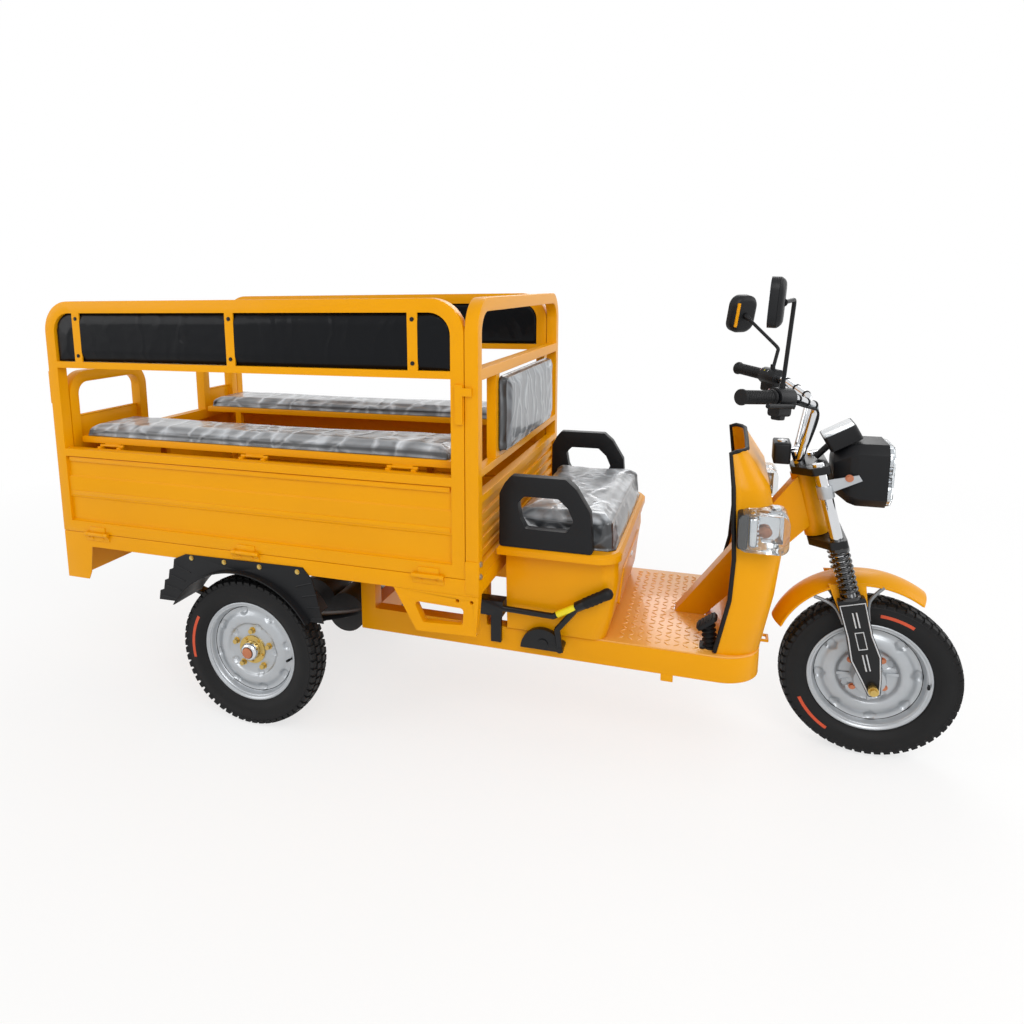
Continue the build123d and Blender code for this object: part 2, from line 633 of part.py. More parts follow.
# Drive motor in front of the differential
motor_r = 72.0
motor_x = rear_x + diff_r + motor_r + running_gap
with BuildPart() as drive_motor:
    rod((motor_x, -120, rear_tyre_r), (motor_x, 60, rear_tyre_r), motor_r)
export(drive_motor, "drive_motor")

# Leaf springs between the uprights and the hangers, on the axle tube
spring_in = rail_in + 4.0
spring_w = frame_wall - 8.0
with BuildPart() as leaf_springs:
    front_eye = (frame_start - running_gap, eye_z)
    rear_eye = (hanger_x + beam_w / 2 + running_gap, eye_z)
    for side, s in SIDES:
        with BuildSketch(Plane.XZ.offset(-s * spring_in)):
            with BuildLine():
                ThreePointArc(rear_eye, (rear_x, leaf_z), front_eye)
                Line(front_eye, (front_eye[0], front_eye[1] + 10))
                ThreePointArc((front_eye[0], front_eye[1] + 10), (rear_x, leaf_z + 24),
                              (rear_eye[0], rear_eye[1] + 10))
                Line((rear_eye[0], rear_eye[1] + 10), rear_eye)
            make_face()
        extrude(amount=-s * spring_w)
export(leaf_springs, "leaf_springs")


# Wheels. The tyre is a ring of flat tread faces and the rim is a barrel with lips, a dished disc and a hub.
# Rows hold: distance from the tyre's middle plane, radius.
def tyre_ring(centre, radius):
    flank = (rim_lip_r + radius) / 2
    neck = rim_half - rim_wall - 2 * running_gap
    slope = (flank - flank_wall - rim_lip_r) / (tyre_half - neck)
    low = bead_r + running_gap
    bead = neck - (rim_lip_r - low) / slope
    past = tyre_half + flank_wall
    mouth = rim_lip_r + (past - neck) * slope
    tread = ((-tyre_half, flank), (-crown_half, radius), (crown_half, radius), (tyre_half, flank))
    well = ((-past, mouth), (-bead, low), (bead, low), (past, mouth))
    for rows, mode in ((tread, Mode.ADD), (well, Mode.SUBTRACT)):
        sections = []
        for y, reach in rows:
            middle = (centre[0], centre[1] + y, centre[2])
            with BuildSketch(Plane(origin=middle, x_dir=(1, 0, 0), z_dir=(0, -1, 0))) as section:
                RegularPolygon(reach, tread_faces, major_radius=False, rotation=180 / tread_faces)
            sections.append(section.sketch)
        loft(sections, ruled=True, mode=mode)


# Disc rows hold: radius, outward offset of the disc's outer face.
def wheel_rim(centre, outward, disc_rows, hub_r, hub_span, bore):
    plane = Plane(origin=centre, x_dir=(1, 0, 0), z_dir=(0, 0, 1))
    inner = bead_r - rim_wall
    with BuildSketch(plane) as profile:
        with BuildLine():
            Polyline((inner, -rim_half), (rim_lip_r, -rim_half), (rim_lip_r, rim_wall - rim_half),
                     (bead_r, rim_wall - rim_half), (bead_r, rim_half - rim_wall),
                     (rim_lip_r, rim_half - rim_wall), (rim_lip_r, rim_half), (inner, rim_half), close=True)
        make_face()
        face = [(radius, outward * offset) for radius, offset in disc_rows]
        back = [(radius, outward * (offset - disc_wall)) for radius, offset in reversed(disc_rows)]
        with BuildLine():
            Polyline(*face, *back, close=True)
        make_face()
        with BuildLine():
            Polyline((bore, outward * hub_span[0]), (hub_r, outward * hub_span[0]),
                     (hub_r, outward * hub_span[1]), (bore, outward * hub_span[1]), close=True)
        make_face()
    revolve(profile.sketch, axis=Axis(centre, (0, 1, 0)))


rear_disc = ((bead_r - 1, 4), (bead_r - 16, 2), (bead_r - 32, 14), (bead_r - 60, 15), (bead_r - 68, 6), (30, 6))
for side, s in SIDES:
    hub_point = (rear_x, s * half_track, rear_tyre_r)
    with BuildPart() as rear_tyre:
        tyre_ring(hub_point, rear_tyre_r)
    export(rear_tyre, f"rear_tyre_{side}")
    with BuildPart() as rear_rim:
        wheel_rim(hub_point, s, rear_disc, 38.0, (-24, 30), spindle_r + running_gap)
        cap = (rear_x, s * (half_track + 24), rear_tyre_r)
        rod(cap, (rear_x, s * (half_track + 48), rear_tyre_r), 30.0)
    export(rear_rim, f"rear_rim_{side}")

front_disc = ((bead_r - 1, 4), (bead_r - 16, 2), (bead_r - 32, 16), (bead_r - 64, 17), (bead_r - 78, 2), (44, 2))
front_hub = (front_x, 0, front_tyre_r)
hub_half = leg_y - leg_t / 2 - 14.0
with BuildPart() as front_tyre:
    tyre_ring(front_hub, front_tyre_r)
export(front_tyre, "front_tyre")
with BuildPart() as front_rim:
    wheel_rim(front_hub, -1, front_disc, 46.0, (-hub_half, hub_half), axle_r + running_gap)
export(front_rim, "front_rim")

with BuildPart() as front_axle:
    leg_in = leg_y - leg_t / 2
    rod((front_x, -leg_y - leg_t / 2 - 16, front_tyre_r), (front_x, leg_y + leg_t / 2 + 16, front_tyre_r), axle_r)
    for side, s in SIDES:
        rod((front_x, s * (hub_half + running_gap), front_tyre_r), (front_x, s * leg_in, front_tyre_r), 13.0)
        rod((front_x, s * (leg_in + leg_t), front_tyre_r), (front_x, s * (leg_in + leg_t + 10), front_tyre_r), 13.0)
export(front_axle, "front_axle")

# Fork: broad lower legs, coil springs over chrome tubes, two clamps and the stem
leg_outline = ((-16, -22), (16, -22), (30, 30), (42, 92), (34, 160), (37, leg_top), (-37, leg_top), (-35, 160),
               (-40, 92), (-26, 30))
with BuildPart() as fork_legs:
    for side, s in SIDES:
        slab(leg_outline, beside(s * (leg_y + leg_t / 2)), s * leg_t, 6.0)
        rod((front_x, s * (leg_y - leg_t), front_tyre_r), (front_x, s * (leg_y + leg_t), front_tyre_r),
            axle_r + 0.05, Mode.SUBTRACT)
export(fork_legs, "fork_legs")

coil_count = 9
coil_r = 27.0
coil_step = (lower_clamp - leg_top) / coil_count
with BuildPart() as fork_springs:
    for side, s in SIDES:
        rod(fork_point(0, leg_top, s * leg_y), fork_point(0, lower_clamp, s * leg_y), tube_r + 3)
        for i in range(coil_count):
            low = leg_top + (i + 0.25) * coil_step
            rod(fork_point(0, low, s * leg_y), fork_point(0, low + coil_step / 2, s * leg_y), coil_r)
        rod(fork_point(0, leg_top, s * leg_y), fork_point(0, lower_clamp, s * leg_y), tube_r + 0.1, Mode.SUBTRACT)
export(fork_springs, "fork_springs")

upper_clamp = head_high + gate_gap
tube_top = upper_clamp + clamp_t + 8
with BuildPart() as fork_tubes:
    for side, s in SIDES:
        rod(fork_point(0, leg_top, s * leg_y), fork_point(0, tube_top, s * leg_y), tube_r)
export(fork_tubes, "fork_tubes")

clamp_outline = ((-steer_offset - 28, -30), (-steer_offset - 28, 30), (-22, leg_y + 27), (26, leg_y + 27),
                 (26, -leg_y - 27), (-22, -leg_y - 27))
lamp_half = 92.0
lamp_x = (front_x - 138, front_x - 4)
lamp_z = (front_tyre_r + 531, front_tyre_r + 711)
arm_rows = ((-164, 561), (-172, 603), (-78, 627), (-68, 611))
arm_plate = [(front_x + x, front_tyre_r + z) for x, z in arm_rows]
with BuildPart() as fork_crown:
    for along in (lower_clamp, upper_clamp):
        slab(clamp_outline, across(along), clamp_t, 12.0)
    rod(fork_point(-steer_offset, lower_clamp), fork_point(-steer_offset, upper_clamp + clamp_t), stem_r)
    for side, s in SIDES:
        rod(fork_point(0, lower_clamp - 20, s * leg_y), fork_point(0, tube_top + 20, s * leg_y),
            tube_r + 0.05, Mode.SUBTRACT)
export(fork_crown, "fork_crown")

with BuildPart() as lamp_arms:
    for side, s in SIDES:
        rod(fork_point(0, 575, s * leg_y), fork_point(0, 612, s * leg_y), tube_r + 5)
        slab(arm_plate, Plane.XZ.offset(-s * (lamp_half + running_gap)), -s * 4.0)
        rod(fork_point(0, 560, s * leg_y), fork_point(0, 630, s * leg_y), tube_r + 0.1, Mode.SUBTRACT)
export(lamp_arms, "lamp_arms")

# Headlamp: a housing that narrows to the back, and the lens in front
# Rows hold: x, half size.
lamp_rows = ((lamp_x[0], 58.0), (lamp_x[0] + 40, 86.0), (lamp_x[0] + 60, lamp_half), (lamp_x[1], lamp_half))
lamp_mid = (lamp_z[0] + lamp_z[1]) / 2
lens_t = 14.0
with BuildPart() as headlamp:
    for x, half in lamp_rows:
        with BuildSketch(Plane.YZ.offset(x)) as section:
            with Locations((0, lamp_mid)):
                Rectangle(2 * half, 2 * half - 4)
            chamfer(section.vertices(), 26)
    loft(ruled=True)
export(headlamp, "headlamp")
with BuildPart() as headlamp_lens:
    with BuildSketch(Plane.YZ.offset(lamp_x[1])) as section:
        with Locations((0, lamp_mid)):
            Rectangle(2 * lamp_half - 6, 2 * lamp_half - 10)
        chamfer(section.vertices(), 26)
    extrude(amount=lens_t, taper=12)
export(headlamp_lens, "headlamp_lens")

# Handlebar: one bent tube from grip to grip, held by the upper clamp
clamp_top = upper_clamp + clamp_t
bar_rise = bar_r + 10.0
bar_mid = fork_point(-steer_offset, clamp_top + bar_rise)
right_half = (from_axle(-400, -370, 873), from_axle(-265, -215, 855), from_axle(-198, -92, 817),
              bar_mid - Vector(0, 58, 0))
left_half = [Vector(p.X, -p.Y, p.Z) for p in reversed(right_half)]
with BuildPart() as handlebar:
    with BuildLine() as bend:
        FilletPolyline(*right_half, *left_half, radius=30)
    with BuildSketch(Plane(origin=bend.line @ 0, z_dir=bend.line % 0)):
        Circle(bar_r)
    sweep()
    for side, s in SIDES:
        rod(fork_point(-steer_offset, clamp_top, s * 26), fork_point(-steer_offset, clamp_top + 2 * bar_rise, s * 26),
            bar_r + 5)
export(handlebar, "handlebar")

grip_end = right_half[0]
grip_run = (right_half[1] - grip_end).normalized()
grip_len = 122.0
cluster_len = 62.0
with BuildPart() as grips:
    for side, s in SIDES:
        start = Vector(grip_end.X, -s * grip_end.Y, grip_end.Z)
        run = Vector(grip_run.X, -s * grip_run.Y, grip_run.Z)
        rod(start - run * 4, start + run * grip_len, grip_r)
        rod(start, start + run * grip_len, bar_r + 0.1, Mode.SUBTRACT)
export(grips, "grips")

with BuildPart() as switch_clusters:
    for side, s in SIDES:
        start = Vector(grip_end.X, -s * grip_end.Y, grip_end.Z)
        run = Vector(grip_run.X, -s * grip_run.Y, grip_run.Z)
        near = start + run * (grip_len + 1)
        far = start + run * (grip_len + cluster_len)
        rod(near, far, 27.0)
        rod(near - run * 10, far + run * 10, bar_r + 0.1, Mode.SUBTRACT)
        lever = near + run * 30 + Vector(14, 0, -16)
        rod(lever, lever + Vector(22, 0, -6), 9.0)
        rod(lever + Vector(18, 0, -5), lever + Vector(18, 0, -5) - run * 150 + Vector(30, 0, 0), 6.0)
export(switch_clusters, "switch_clusters")

# Mirrors: bent stems from the clusters and domed heads
# Rows hold: side sign, bend point, head centre, head normal, all at the right or left of the bars.
mirror_rows = (
    (-1, from_axle(-284, -282, 1117), from_axle(-338, -372, 1113), (-1, 0.10, 0.05)),
    (1, from_axle(-284, 258, 951), from_axle(-402, 372, 1059), (-0.55, 0.75, 0.2)),
)
# Head rows hold: depth along the normal, width, height, corner radius.
head_rows = ((-26, 56, 86, 24), (-10, 92, 126, 34), (8, 92, 126, 34))
stem_base = grip_end + grip_run * (grip_len + 34)
with BuildPart() as mirrors:
    for s, bend_at, head_at, normal in mirror_rows:
        foot = Vector(stem_base.X, -s * stem_base.Y, stem_base.Z + 28.3)
        rod(foot, foot + Vector(0, 0, 30), 11.0)
        rod(foot + Vector(0, 0, 20), bend_at, 6.0)
        with Locations(bend_at):
            Sphere(6.0)
        head = Plane(origin=head_at, x_dir=Vector(0, 1, 0).cross(Vector(*normal)).cross(Vector(*normal)),
                     z_dir=normal)
        rod(bend_at, head_at - head.z_dir * 14, 6.0)
        sections = []
        for depth, width, height, corner in head_rows:
            with BuildSketch(head.offset(depth)) as section:
                RectangleRounded(width, height, corner)
            sections.append(section.sketch)
        loft(sections, ruled=True)
export(mirrors, "mirrors")

# Speedometer, tilted towards the rider, and the ignition box behind the bars
dash = Plane(origin=from_axle(-124, 0, 731), x_dir=(0, 1, 0), z_dir=(-0.5, 0, 0.866))
with BuildPart() as speedometer:
    with BuildSketch(dash.offset(-32)) as face:
        RectangleRounded(128, 92, 12)
    extrude(amount=44)
    rod(from_axle(-138, 0, 703), fork_point(0, clamp_top + 7.7), 9.0)
export(speedometer, "speedometer")

with BuildPart() as ignition_box:
    bar((bar_mid.X - bar_r - 58, bar_mid.X - bar_r - 11), (-48, 48), (bar_mid.Z - 20, bar_mid.Z + 44))
export(ignition_box, "ignition_box")

# Front fender: an arched strip with turned-down sides and its side plates
guard_centre = (front_x - 25, 0, front_tyre_r + 60)
guard_r = 262.0
guard_t = 3.0
guard_half = 70.0
guard_start = 54.0
guard_sweep = 106.0
guard_drop = 22.0
with BuildPart() as front_fender:
    out = Vector(cos(radians(guard_start)), 0, sin(radians(guard_start)))
    with BuildSketch(Plane(origin=guard_centre, x_dir=out, z_dir=(-out.Z, 0, out.X))) as section:
        with BuildLine():
            ThreePointArc((guard_r - guard_drop, guard_half), (guard_r, 0), (guard_r - guard_drop, -guard_half))
            Line((guard_r - guard_drop, -guard_half), (guard_r - guard_drop - guard_t, -guard_half))
            ThreePointArc((guard_r - guard_drop - guard_t, -guard_half), (guard_r - guard_t, 0),
                          (guard_r - guard_drop - guard_t, guard_half))
            Line((guard_r - guard_drop - guard_t, guard_half), (guard_r - guard_drop, guard_half))
        make_face()
    revolve(section.sketch, axis=Axis(guard_centre, (0, -1, 0)), revolution_arc=guard_sweep)
    for side, s in SIDES:
        plate = ((-34, 200), (34, 200), (48, 296), (-48, 316))
        slab(plate, beside(s * leg_in), s * (leg_in - guard_half + 2))
        rod(fork_point(0, leg_top, s * leg_y), fork_point(0, lower_clamp, s * leg_y), coil_r + gate_gap, Mode.SUBTRACT)
export(front_fender, "front_fender")

# Brake pedal with its bellows, on the floor
pedal_x = nose_x - 128.0
pedal_y = 58.0 - frame_half
with BuildPart() as brake_pedal:
    bar((pedal_x - 34, pedal_x + 34), (pedal_y - 30, pedal_y + 30), (floor_z, floor_z + 8))
    rod((pedal_x, pedal_y, floor_z + 6), (pedal_x - 18, pedal_y, floor_z + 66), 19.0)
    slab(((pedal_x - 52, floor_z + 66), (pedal_x + 6, floor_z + 62), (pedal_x + 8, floor_z + 76),
          (pedal_x - 50, floor_z + 86)), Plane.XZ.offset(-pedal_y - 30), 60)
export(brake_pedal, "brake_pedal")

# Hand brake beside the seat box: ratchet block, cranked lever and cable quadrant
lever_y = -box_rows[-1][3] - 20.0
lever_r = 9.0
lever_grip_r = 15.0
quadrant_r = 64.0
# Lever rows hold: start and end as distance from the lid's rear edge and height above the floor, radius.
lever_rows = (
    ((8, 76), (168, 72), lever_r),
    ((165, 72), (237, 112), lever_r),
    ((233, 110), (322, 162), lever_grip_r),
    ((237, 110), (177, 32), lever_r),
    ((177, 34), (187, -30), lever_r),
)
with BuildPart() as hand_brake:
    bar((seat_x[0] - 61, seat_x[0] + 15), (lever_y - 8, -frame_half - 6), (floor_z + 52, floor_z + 98))
    bar((seat_x[0] - 33, seat_x[0] - 1), (-frame_half - 14, -frame_half), (frame_z + 30, floor_z + 60))
    for start, end, radius in lever_rows:
        rod((seat_x[0] + start[0], lever_y, floor_z + start[1]), (seat_x[0] + end[0], lever_y, floor_z + end[1]), radius)
    rod((seat_x[0] + 187, lever_y - 10, floor_z - 28), (seat_x[0] + 187, -frame_half, floor_z - 28), lever_r)
    with BuildSketch(Plane.XZ.offset(frame_half + 14)):
        with Locations((seat_x[0] + 129, floor_z - 44)):
            Circle(quadrant_r)
            with Locations((0, -quadrant_r)):
                Rectangle(3 * quadrant_r, 2 * quadrant_r, mode=Mode.SUBTRACT)
    extrude(amount=20)
    rod((seat_x[0] + 133, -frame_half, floor_z - 24), (seat_x[0] + 133, -frame_half - 40, floor_z - 24), 16.0)
export(hand_brake, "hand_brake")
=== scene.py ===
import json
from math import atan2, cos, hypot, pi, radians, sin

import bmesh
import bpy
from mathutils import Matrix, Vector, noise


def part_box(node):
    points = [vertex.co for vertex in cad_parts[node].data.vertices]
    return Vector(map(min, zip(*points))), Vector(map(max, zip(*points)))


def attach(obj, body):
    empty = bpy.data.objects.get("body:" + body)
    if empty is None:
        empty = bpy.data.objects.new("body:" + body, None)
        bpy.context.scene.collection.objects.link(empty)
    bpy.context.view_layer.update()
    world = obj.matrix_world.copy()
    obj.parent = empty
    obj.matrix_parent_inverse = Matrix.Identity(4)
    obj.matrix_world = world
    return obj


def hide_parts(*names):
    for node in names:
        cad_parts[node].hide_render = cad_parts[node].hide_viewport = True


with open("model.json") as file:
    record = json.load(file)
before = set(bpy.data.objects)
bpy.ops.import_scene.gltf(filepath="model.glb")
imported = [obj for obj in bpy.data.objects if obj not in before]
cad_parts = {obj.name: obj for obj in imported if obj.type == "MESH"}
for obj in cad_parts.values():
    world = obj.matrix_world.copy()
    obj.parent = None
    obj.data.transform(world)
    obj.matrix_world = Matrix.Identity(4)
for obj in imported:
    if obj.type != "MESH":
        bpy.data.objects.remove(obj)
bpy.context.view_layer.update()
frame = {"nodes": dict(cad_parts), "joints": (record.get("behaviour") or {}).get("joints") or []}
mm = 0.001
weldGap = 0.01 * mm    # points nearer than this are one
sides = (("right", -1), ("left", 1))
print("frame loaded:", len(frame["nodes"]), "nodes")


def linear(hexColour):
    channels = [int(hexColour[i:i + 2], 16) / 255 for i in (1, 3, 5)]
    return [c / 12.92 if c <= 0.04045 else ((c + 0.055) / 1.055) ** 2.4 for c in channels] + [1.0]


def perSize(size):
    return 1 / (size * mm)    # texture scale for a feature of so many millimetres


def addNode(tree, kind, settings, links=None):
    node = tree.nodes.new(kind)
    for key, value in settings.items():
        if isinstance(key, int) or key in node.inputs:
            node.inputs[key].default_value = value
        else:
            setattr(node, key, value)
    for key, source in (links or {}).items():
        tree.links.new(source, node.inputs[key])
    return node


def newMaterial(name, values):
    material = bpy.data.materials.new(name)
    material.use_nodes = True
    tree = material.node_tree
    shader = tree.nodes["Principled BSDF"]
    for socket, value in values.items():
        shader.inputs[socket].default_value = value
    place = addNode(tree, "ShaderNodeTexCoord", {}).outputs["Object"]
    return material, tree, shader, place


# colour that drifts between two tones, with a fine bump: the ground of most finishes here
def toned(name, tone, other, patch, grain, depth, rough, metal, gloss, coat, more=None):
    material, tree, shader, place = newMaterial(name, {
        "Roughness": rough, "Metallic": metal, "Specular IOR Level": gloss, "Coat Weight": coat,
        **(more or {})})
    drift = addNode(tree, "ShaderNodeTexNoise", {"Scale": perSize(patch), "Detail": 4.0}, {"Vector": place})
    mixed = addNode(tree, "ShaderNodeMix", {"data_type": "RGBA", 6: linear(tone), 7: linear(other)},
                    {0: drift.outputs["Fac"]})
    tree.links.new(mixed.outputs[2], shader.inputs["Base Color"])
    fine = addNode(tree, "ShaderNodeTexNoise", {"Scale": perSize(grain), "Detail": 2.0}, {"Vector": place})
    bump = addNode(tree, "ShaderNodeBump", {"Strength": 0.5, "Distance": depth * mm},
                   {"Height": fine.outputs["Fac"]})
    tree.links.new(bump.outputs["Normal"], shader.inputs["Normal"])
    return material


# clear packing film over black leathercloth: dark ground, with a painted highlight, a pale colour laid along
# the creases and strongest on faces turned a set way, for the light caught in the film
def filmed(look):
    material, tree, shader, place = newMaterial(look["name"], {
        "Roughness": 0.34, "Specular IOR Level": look["gloss"], "Coat Weight": look["coat"],
        "Coat Roughness": 0.08})
    warp = addNode(tree, "ShaderNodeTexNoise", {"Scale": perSize(110), "Detail": 2.0}, {"Vector": place})
    bent = addNode(tree, "ShaderNodeMix", {"data_type": "VECTOR", 0: 0.09},
                   {4: place, 5: warp.outputs["Color"]})
    turned = addNode(tree, "ShaderNodeMapping", {"Rotation": look["turn"], "Scale": look["stretch"]},
                     {"Vector": bent.outputs[1]})
    folds = addNode(tree, "ShaderNodeTexNoise",
                    {"noise_type": "RIDGED_MULTIFRACTAL", "Scale": perSize(look["fold"]), "Detail": 3.0,
                     "Roughness": 0.55}, {"Vector": turned.outputs[0]})
    cells = addNode(tree, "ShaderNodeTexVoronoi",
                    {"feature": "DISTANCE_TO_EDGE", "Scale": perSize(look["cell"])},
                    {"Vector": turned.outputs[0]})
    edges = addNode(tree, "ShaderNodeMapRange", {"From Max": 0.12, "To Min": 1.0, "To Max": 0.0},
                    {"Value": cells.outputs["Distance"]})
    height = addNode(tree, "ShaderNodeMath", {"operation": "MULTIPLY_ADD", 1: 0.4},
                     {0: edges.outputs["Result"], 2: folds.outputs["Fac"]})
    # painted highlight: the higher the crease, the more pale colour is laid on
    lit = addNode(tree, "ShaderNodeMapRange", {"From Min": look["from"], "From Max": look["to"],
                                               "To Min": look["leastSheen"], "To Max": look["mostSheen"]},
                  {"Value": height.outputs["Value"]})
    # painted highlight by facing: faces turned towards the look's way, as if towards the light, get more of
    # the pale colour; the look's edge sets the range
    normal = addNode(tree, "ShaderNodeTexCoord", {}).outputs["Normal"]
    toLight = addNode(tree, "ShaderNodeVectorMath", {"operation": "DOT_PRODUCT", 1: look["way"]}, {0: normal})
    side = addNode(tree, "ShaderNodeMapRange",
                   {"From Min": look["edge"][0], "From Max": look["edge"][1], "To Min": 0.12},
                   {"Value": toLight.outputs["Value"]})
    # share of the painted highlight: crease streaks times facing
    paintedSheenMask = addNode(tree, "ShaderNodeMath", {"operation": "MULTIPLY"},
                   {0: lit.outputs["Result"], 1: side.outputs["Result"]})
    mixed = addNode(tree, "ShaderNodeMix",
                    {"data_type": "RGBA", 6: linear(look["ground"]), 7: linear(look["paintedFilmSheen"])},
                    {0: paintedSheenMask.outputs[0]})
    tree.links.new(mixed.outputs[2], shader.inputs["Base Color"])
    bump = addNode(tree, "ShaderNodeBump", {"Strength": look["bump"], "Distance": 3 * mm},
                   {"Height": height.outputs["Value"]})
    tree.links.new(bump.outputs["Normal"], shader.inputs["Coat Normal"])
    tree.links.new(bump.outputs["Normal"], shader.inputs["Normal"])
    return material


# rows hold: name, two tones, size of a patch, size and depth of the grain in millimetres, roughness,
# metallic, specular level, coat, and what else the shader needs; too fine a grain is drawn coarser, to show
finishRows = {
    # stoved gloss enamel on steel: even warm yellow, faint orange peel, a clear top gloss
    "yellow": ("yellowEnamel", "#eca200", "#e39900", 260, 3.0, 0.05, 0.34, 0, 0.14, 0.06,
               {"Coat Roughness": 0.08}),
    # the same enamel on rolled chequer plate, in a paler yellow that drifts between two tones
    "floor": ("chequerPlateEnamel", "#f2b254", "#e9a136", 90, 4.0, 0.08, 0.3, 0, 0.5, 0.25),
    # moulded black polypropylene: fine spark-eroded grain, grey sheen
    "plastic": ("grainedPolypropylene", "#0d0e10", "#131417", 60, 1.6, 0.12, 0.46, 0, 0.25, 0),
    # sprayed black enamel on steel: deep black, soft highlights
    "blackPaint": ("blackEnamel", "#0a0b0d", "#101114", 80, 3.0, 0.05, 0.34, 0, 0.3, 0.06),
    # powder coat, a fused gloss plastic, on the spring wire: narrow bright lines
    "gloss": ("blackGlossPlastic", "#0d0e10", "#131417", 70, 4.0, 0.03, 0.16, 0, 0.5, 0.5),
    # carbon black tyre rubber, slightly chalky
    "tyre": ("tyreRubber", "#0e0e0f", "#161617", 40, 2.2, 0.16, 0.6, 0, 0.25, 0),
    # flat paint rolled on the sidewall
    "mark": ("orangeSidewallPaint", "#d4502a", "#c04520", 25, 2.0, 0.1, 0.55, 0, 0.5, 0),
    # aluminium flake paint on stamped steel: grey with a broad sheen
    "silver": ("silverWheelPaint", "#b9bdc1", "#abafb3", 50, 1.5, 0.05, 0.34, 0.5, 0.5, 0.2),
    # chrome plate on polished tube: mirrors the room
    "chrome": ("chromePlate", "#dcdddf", "#cfd1d4", 40, 6.0, 0.01, 0.09, 1, 0.5, 0),
    # passivated zinc plate: yellow-green tint, soft sheen; below it bright zinc, grey, and dull copper plate
    "gold": ("yellowZincPlate", "#d2b25a", "#b9a06a", 14, 2.0, 0.05, 0.32, 0.9, 0.5, 0),
    "zinc": ("brightZincPlate", "#b9b7ae", "#a3a29c", 18, 2.0, 0.05, 0.34, 0.9, 0.5, 0),
    "copper": ("copperPlate", "#c98463", "#b06e50", 14, 2.0, 0.05, 0.36, 0.85, 0.5, 0),
    # painted grey iron castings under the bed: rough and dull
    "cast": ("paintedCasting", "#1b1c1e", "#2a2b2d", 30, 2.5, 0.3, 0.55, 0, 0.5, 0),
    # moulded soft rubber: matt, almost no highlight
    "rubber": ("softRubber", "#0c0c0d", "#131315", 30, 1.5, 0.1, 0.58, 0, 0.25, 0),
    # thin painted or stuck-on colour: smooth, flat
    "line": ("silverLinePaint", "#d4d6d8", "#c4c6c9", 30, 3.0, 0.02, 0.35, 0.3, 0.5, 0),
    "stripe": ("leverStripeFilm", "#f2e21c", "#e6d414", 30, 3.0, 0.02, 0.4, 0, 0.5, 0),
    # bare drawn steel rod: grey, half bright
    "grey": ("greySteelStay", "#8d9093", "#7d8083", 30, 2.0, 0.05, 0.4, 0.5, 0.5, 0),
    # moulded polycarbonate: clear, with bright edges
    "lens": ("clearPolycarbonate", "#eef2f4", "#e6ecef", 60, 5.0, 0.02, 0.05, 0, 0.5, 0,
             {"Transmission Weight": 0.92, "IOR": 1.5}),
    # metallised amber behind the lens, and a ribbed red lens
    "amber": ("amberReflector", "#b0693c", "#8e5a3c", 20, 3.0, 0.1, 0.25, 0.4, 0.5, 0),
    "red": ("redTailLens", "#a30d10", "#8c0a0c", 20, 5.0, 0.6, 0.12, 0, 0.5, 1),
    # silvered glass: a sharp reflection
    "mirror": ("mirrorGlass", "#dfe3e6", "#d8dde0", 60, 40.0, 0.001, 0.02, 1, 0.5, 0),
    # protective film on the dial: pale, wrinkled, glossy
    "pale": ("dialFilm", "#d3dade", "#aab4ba", 22, 7.0, 0.9, 0.2, 0, 0.5, 1),
    # moulded battery case: dark, dull
    "battery": ("batteryCase", "#22262b", "#2b3036", 60, 2.0, 0.1, 0.5, 0, 0.5, 0),
}
finish = {key: toned(*row) for key, row in finishRows.items()}
# the ground is the vinyl's own colour; the pale colour, its least and most share, the way and the edge make a
# painted highlight, the light caught in the film: on top of the seat and benches, on the front of the
# backrest, as faint streaks on the gate pads
filmLooks = {
    "seatFilm": {"name": "filmedSeatVinyl", "turn": (0, 0, 0.5), "stretch": (1, 0.32, 1), "fold": 60,
                 "cell": 80, "from": 0.0, "to": 0.8, "leastSheen": 0.2, "mostSheen": 1.0, "way": (0, 0, 1),
                 "edge": (0.25, 0.9), "ground": "#14161a", "paintedFilmSheen": "#e3eaf1", "gloss": 0.4, "coat": 0.6,
                 "bump": 0.8},
    "backFilm": {"name": "filmedBackrestVinyl", "turn": (0.25, 0, 0), "stretch": (1, 1, 0.3), "fold": 50,
                 "cell": 70, "from": 0.1, "to": 1.2, "leastSheen": 0.22, "mostSheen": 0.8, "way": (1, 0, 0),
                 "edge": (0.25, 0.9), "ground": "#101216", "paintedFilmSheen": "#cdd6de", "gloss": 0.4, "coat": 0.5,
                 "bump": 0.8},
    "padFilm": {"name": "filmedPadVinyl", "turn": (0, 0.75, 0), "stretch": (1, 1, 0.3), "fold": 46,
                "cell": 110, "from": 0.9, "to": 2.0, "leastSheen": 0.0, "mostSheen": 0.34, "way": (0, 1, 0),
                "edge": (-3, -2), "ground": "#080a0e", "paintedFilmSheen": "#7d8791", "gloss": 0.1, "coat": 0.1,
                "bump": 0.5},
}
for key, look in filmLooks.items():
    finish[key] = filmed(look)
print("finishes made:", len(finish))


# camera fitted to the photograph: millimetres, degrees, and pixels of a 1024 frame
cameraFit = {"place": (720.879, -2509.775, 1407.941), "azimuth": 21.069, "elevation": 9.905, "roll": -0.841,
             "focal": 781.987, "centre": (426.304, 423.387), "frame": 1024, "sensor": 36.0}


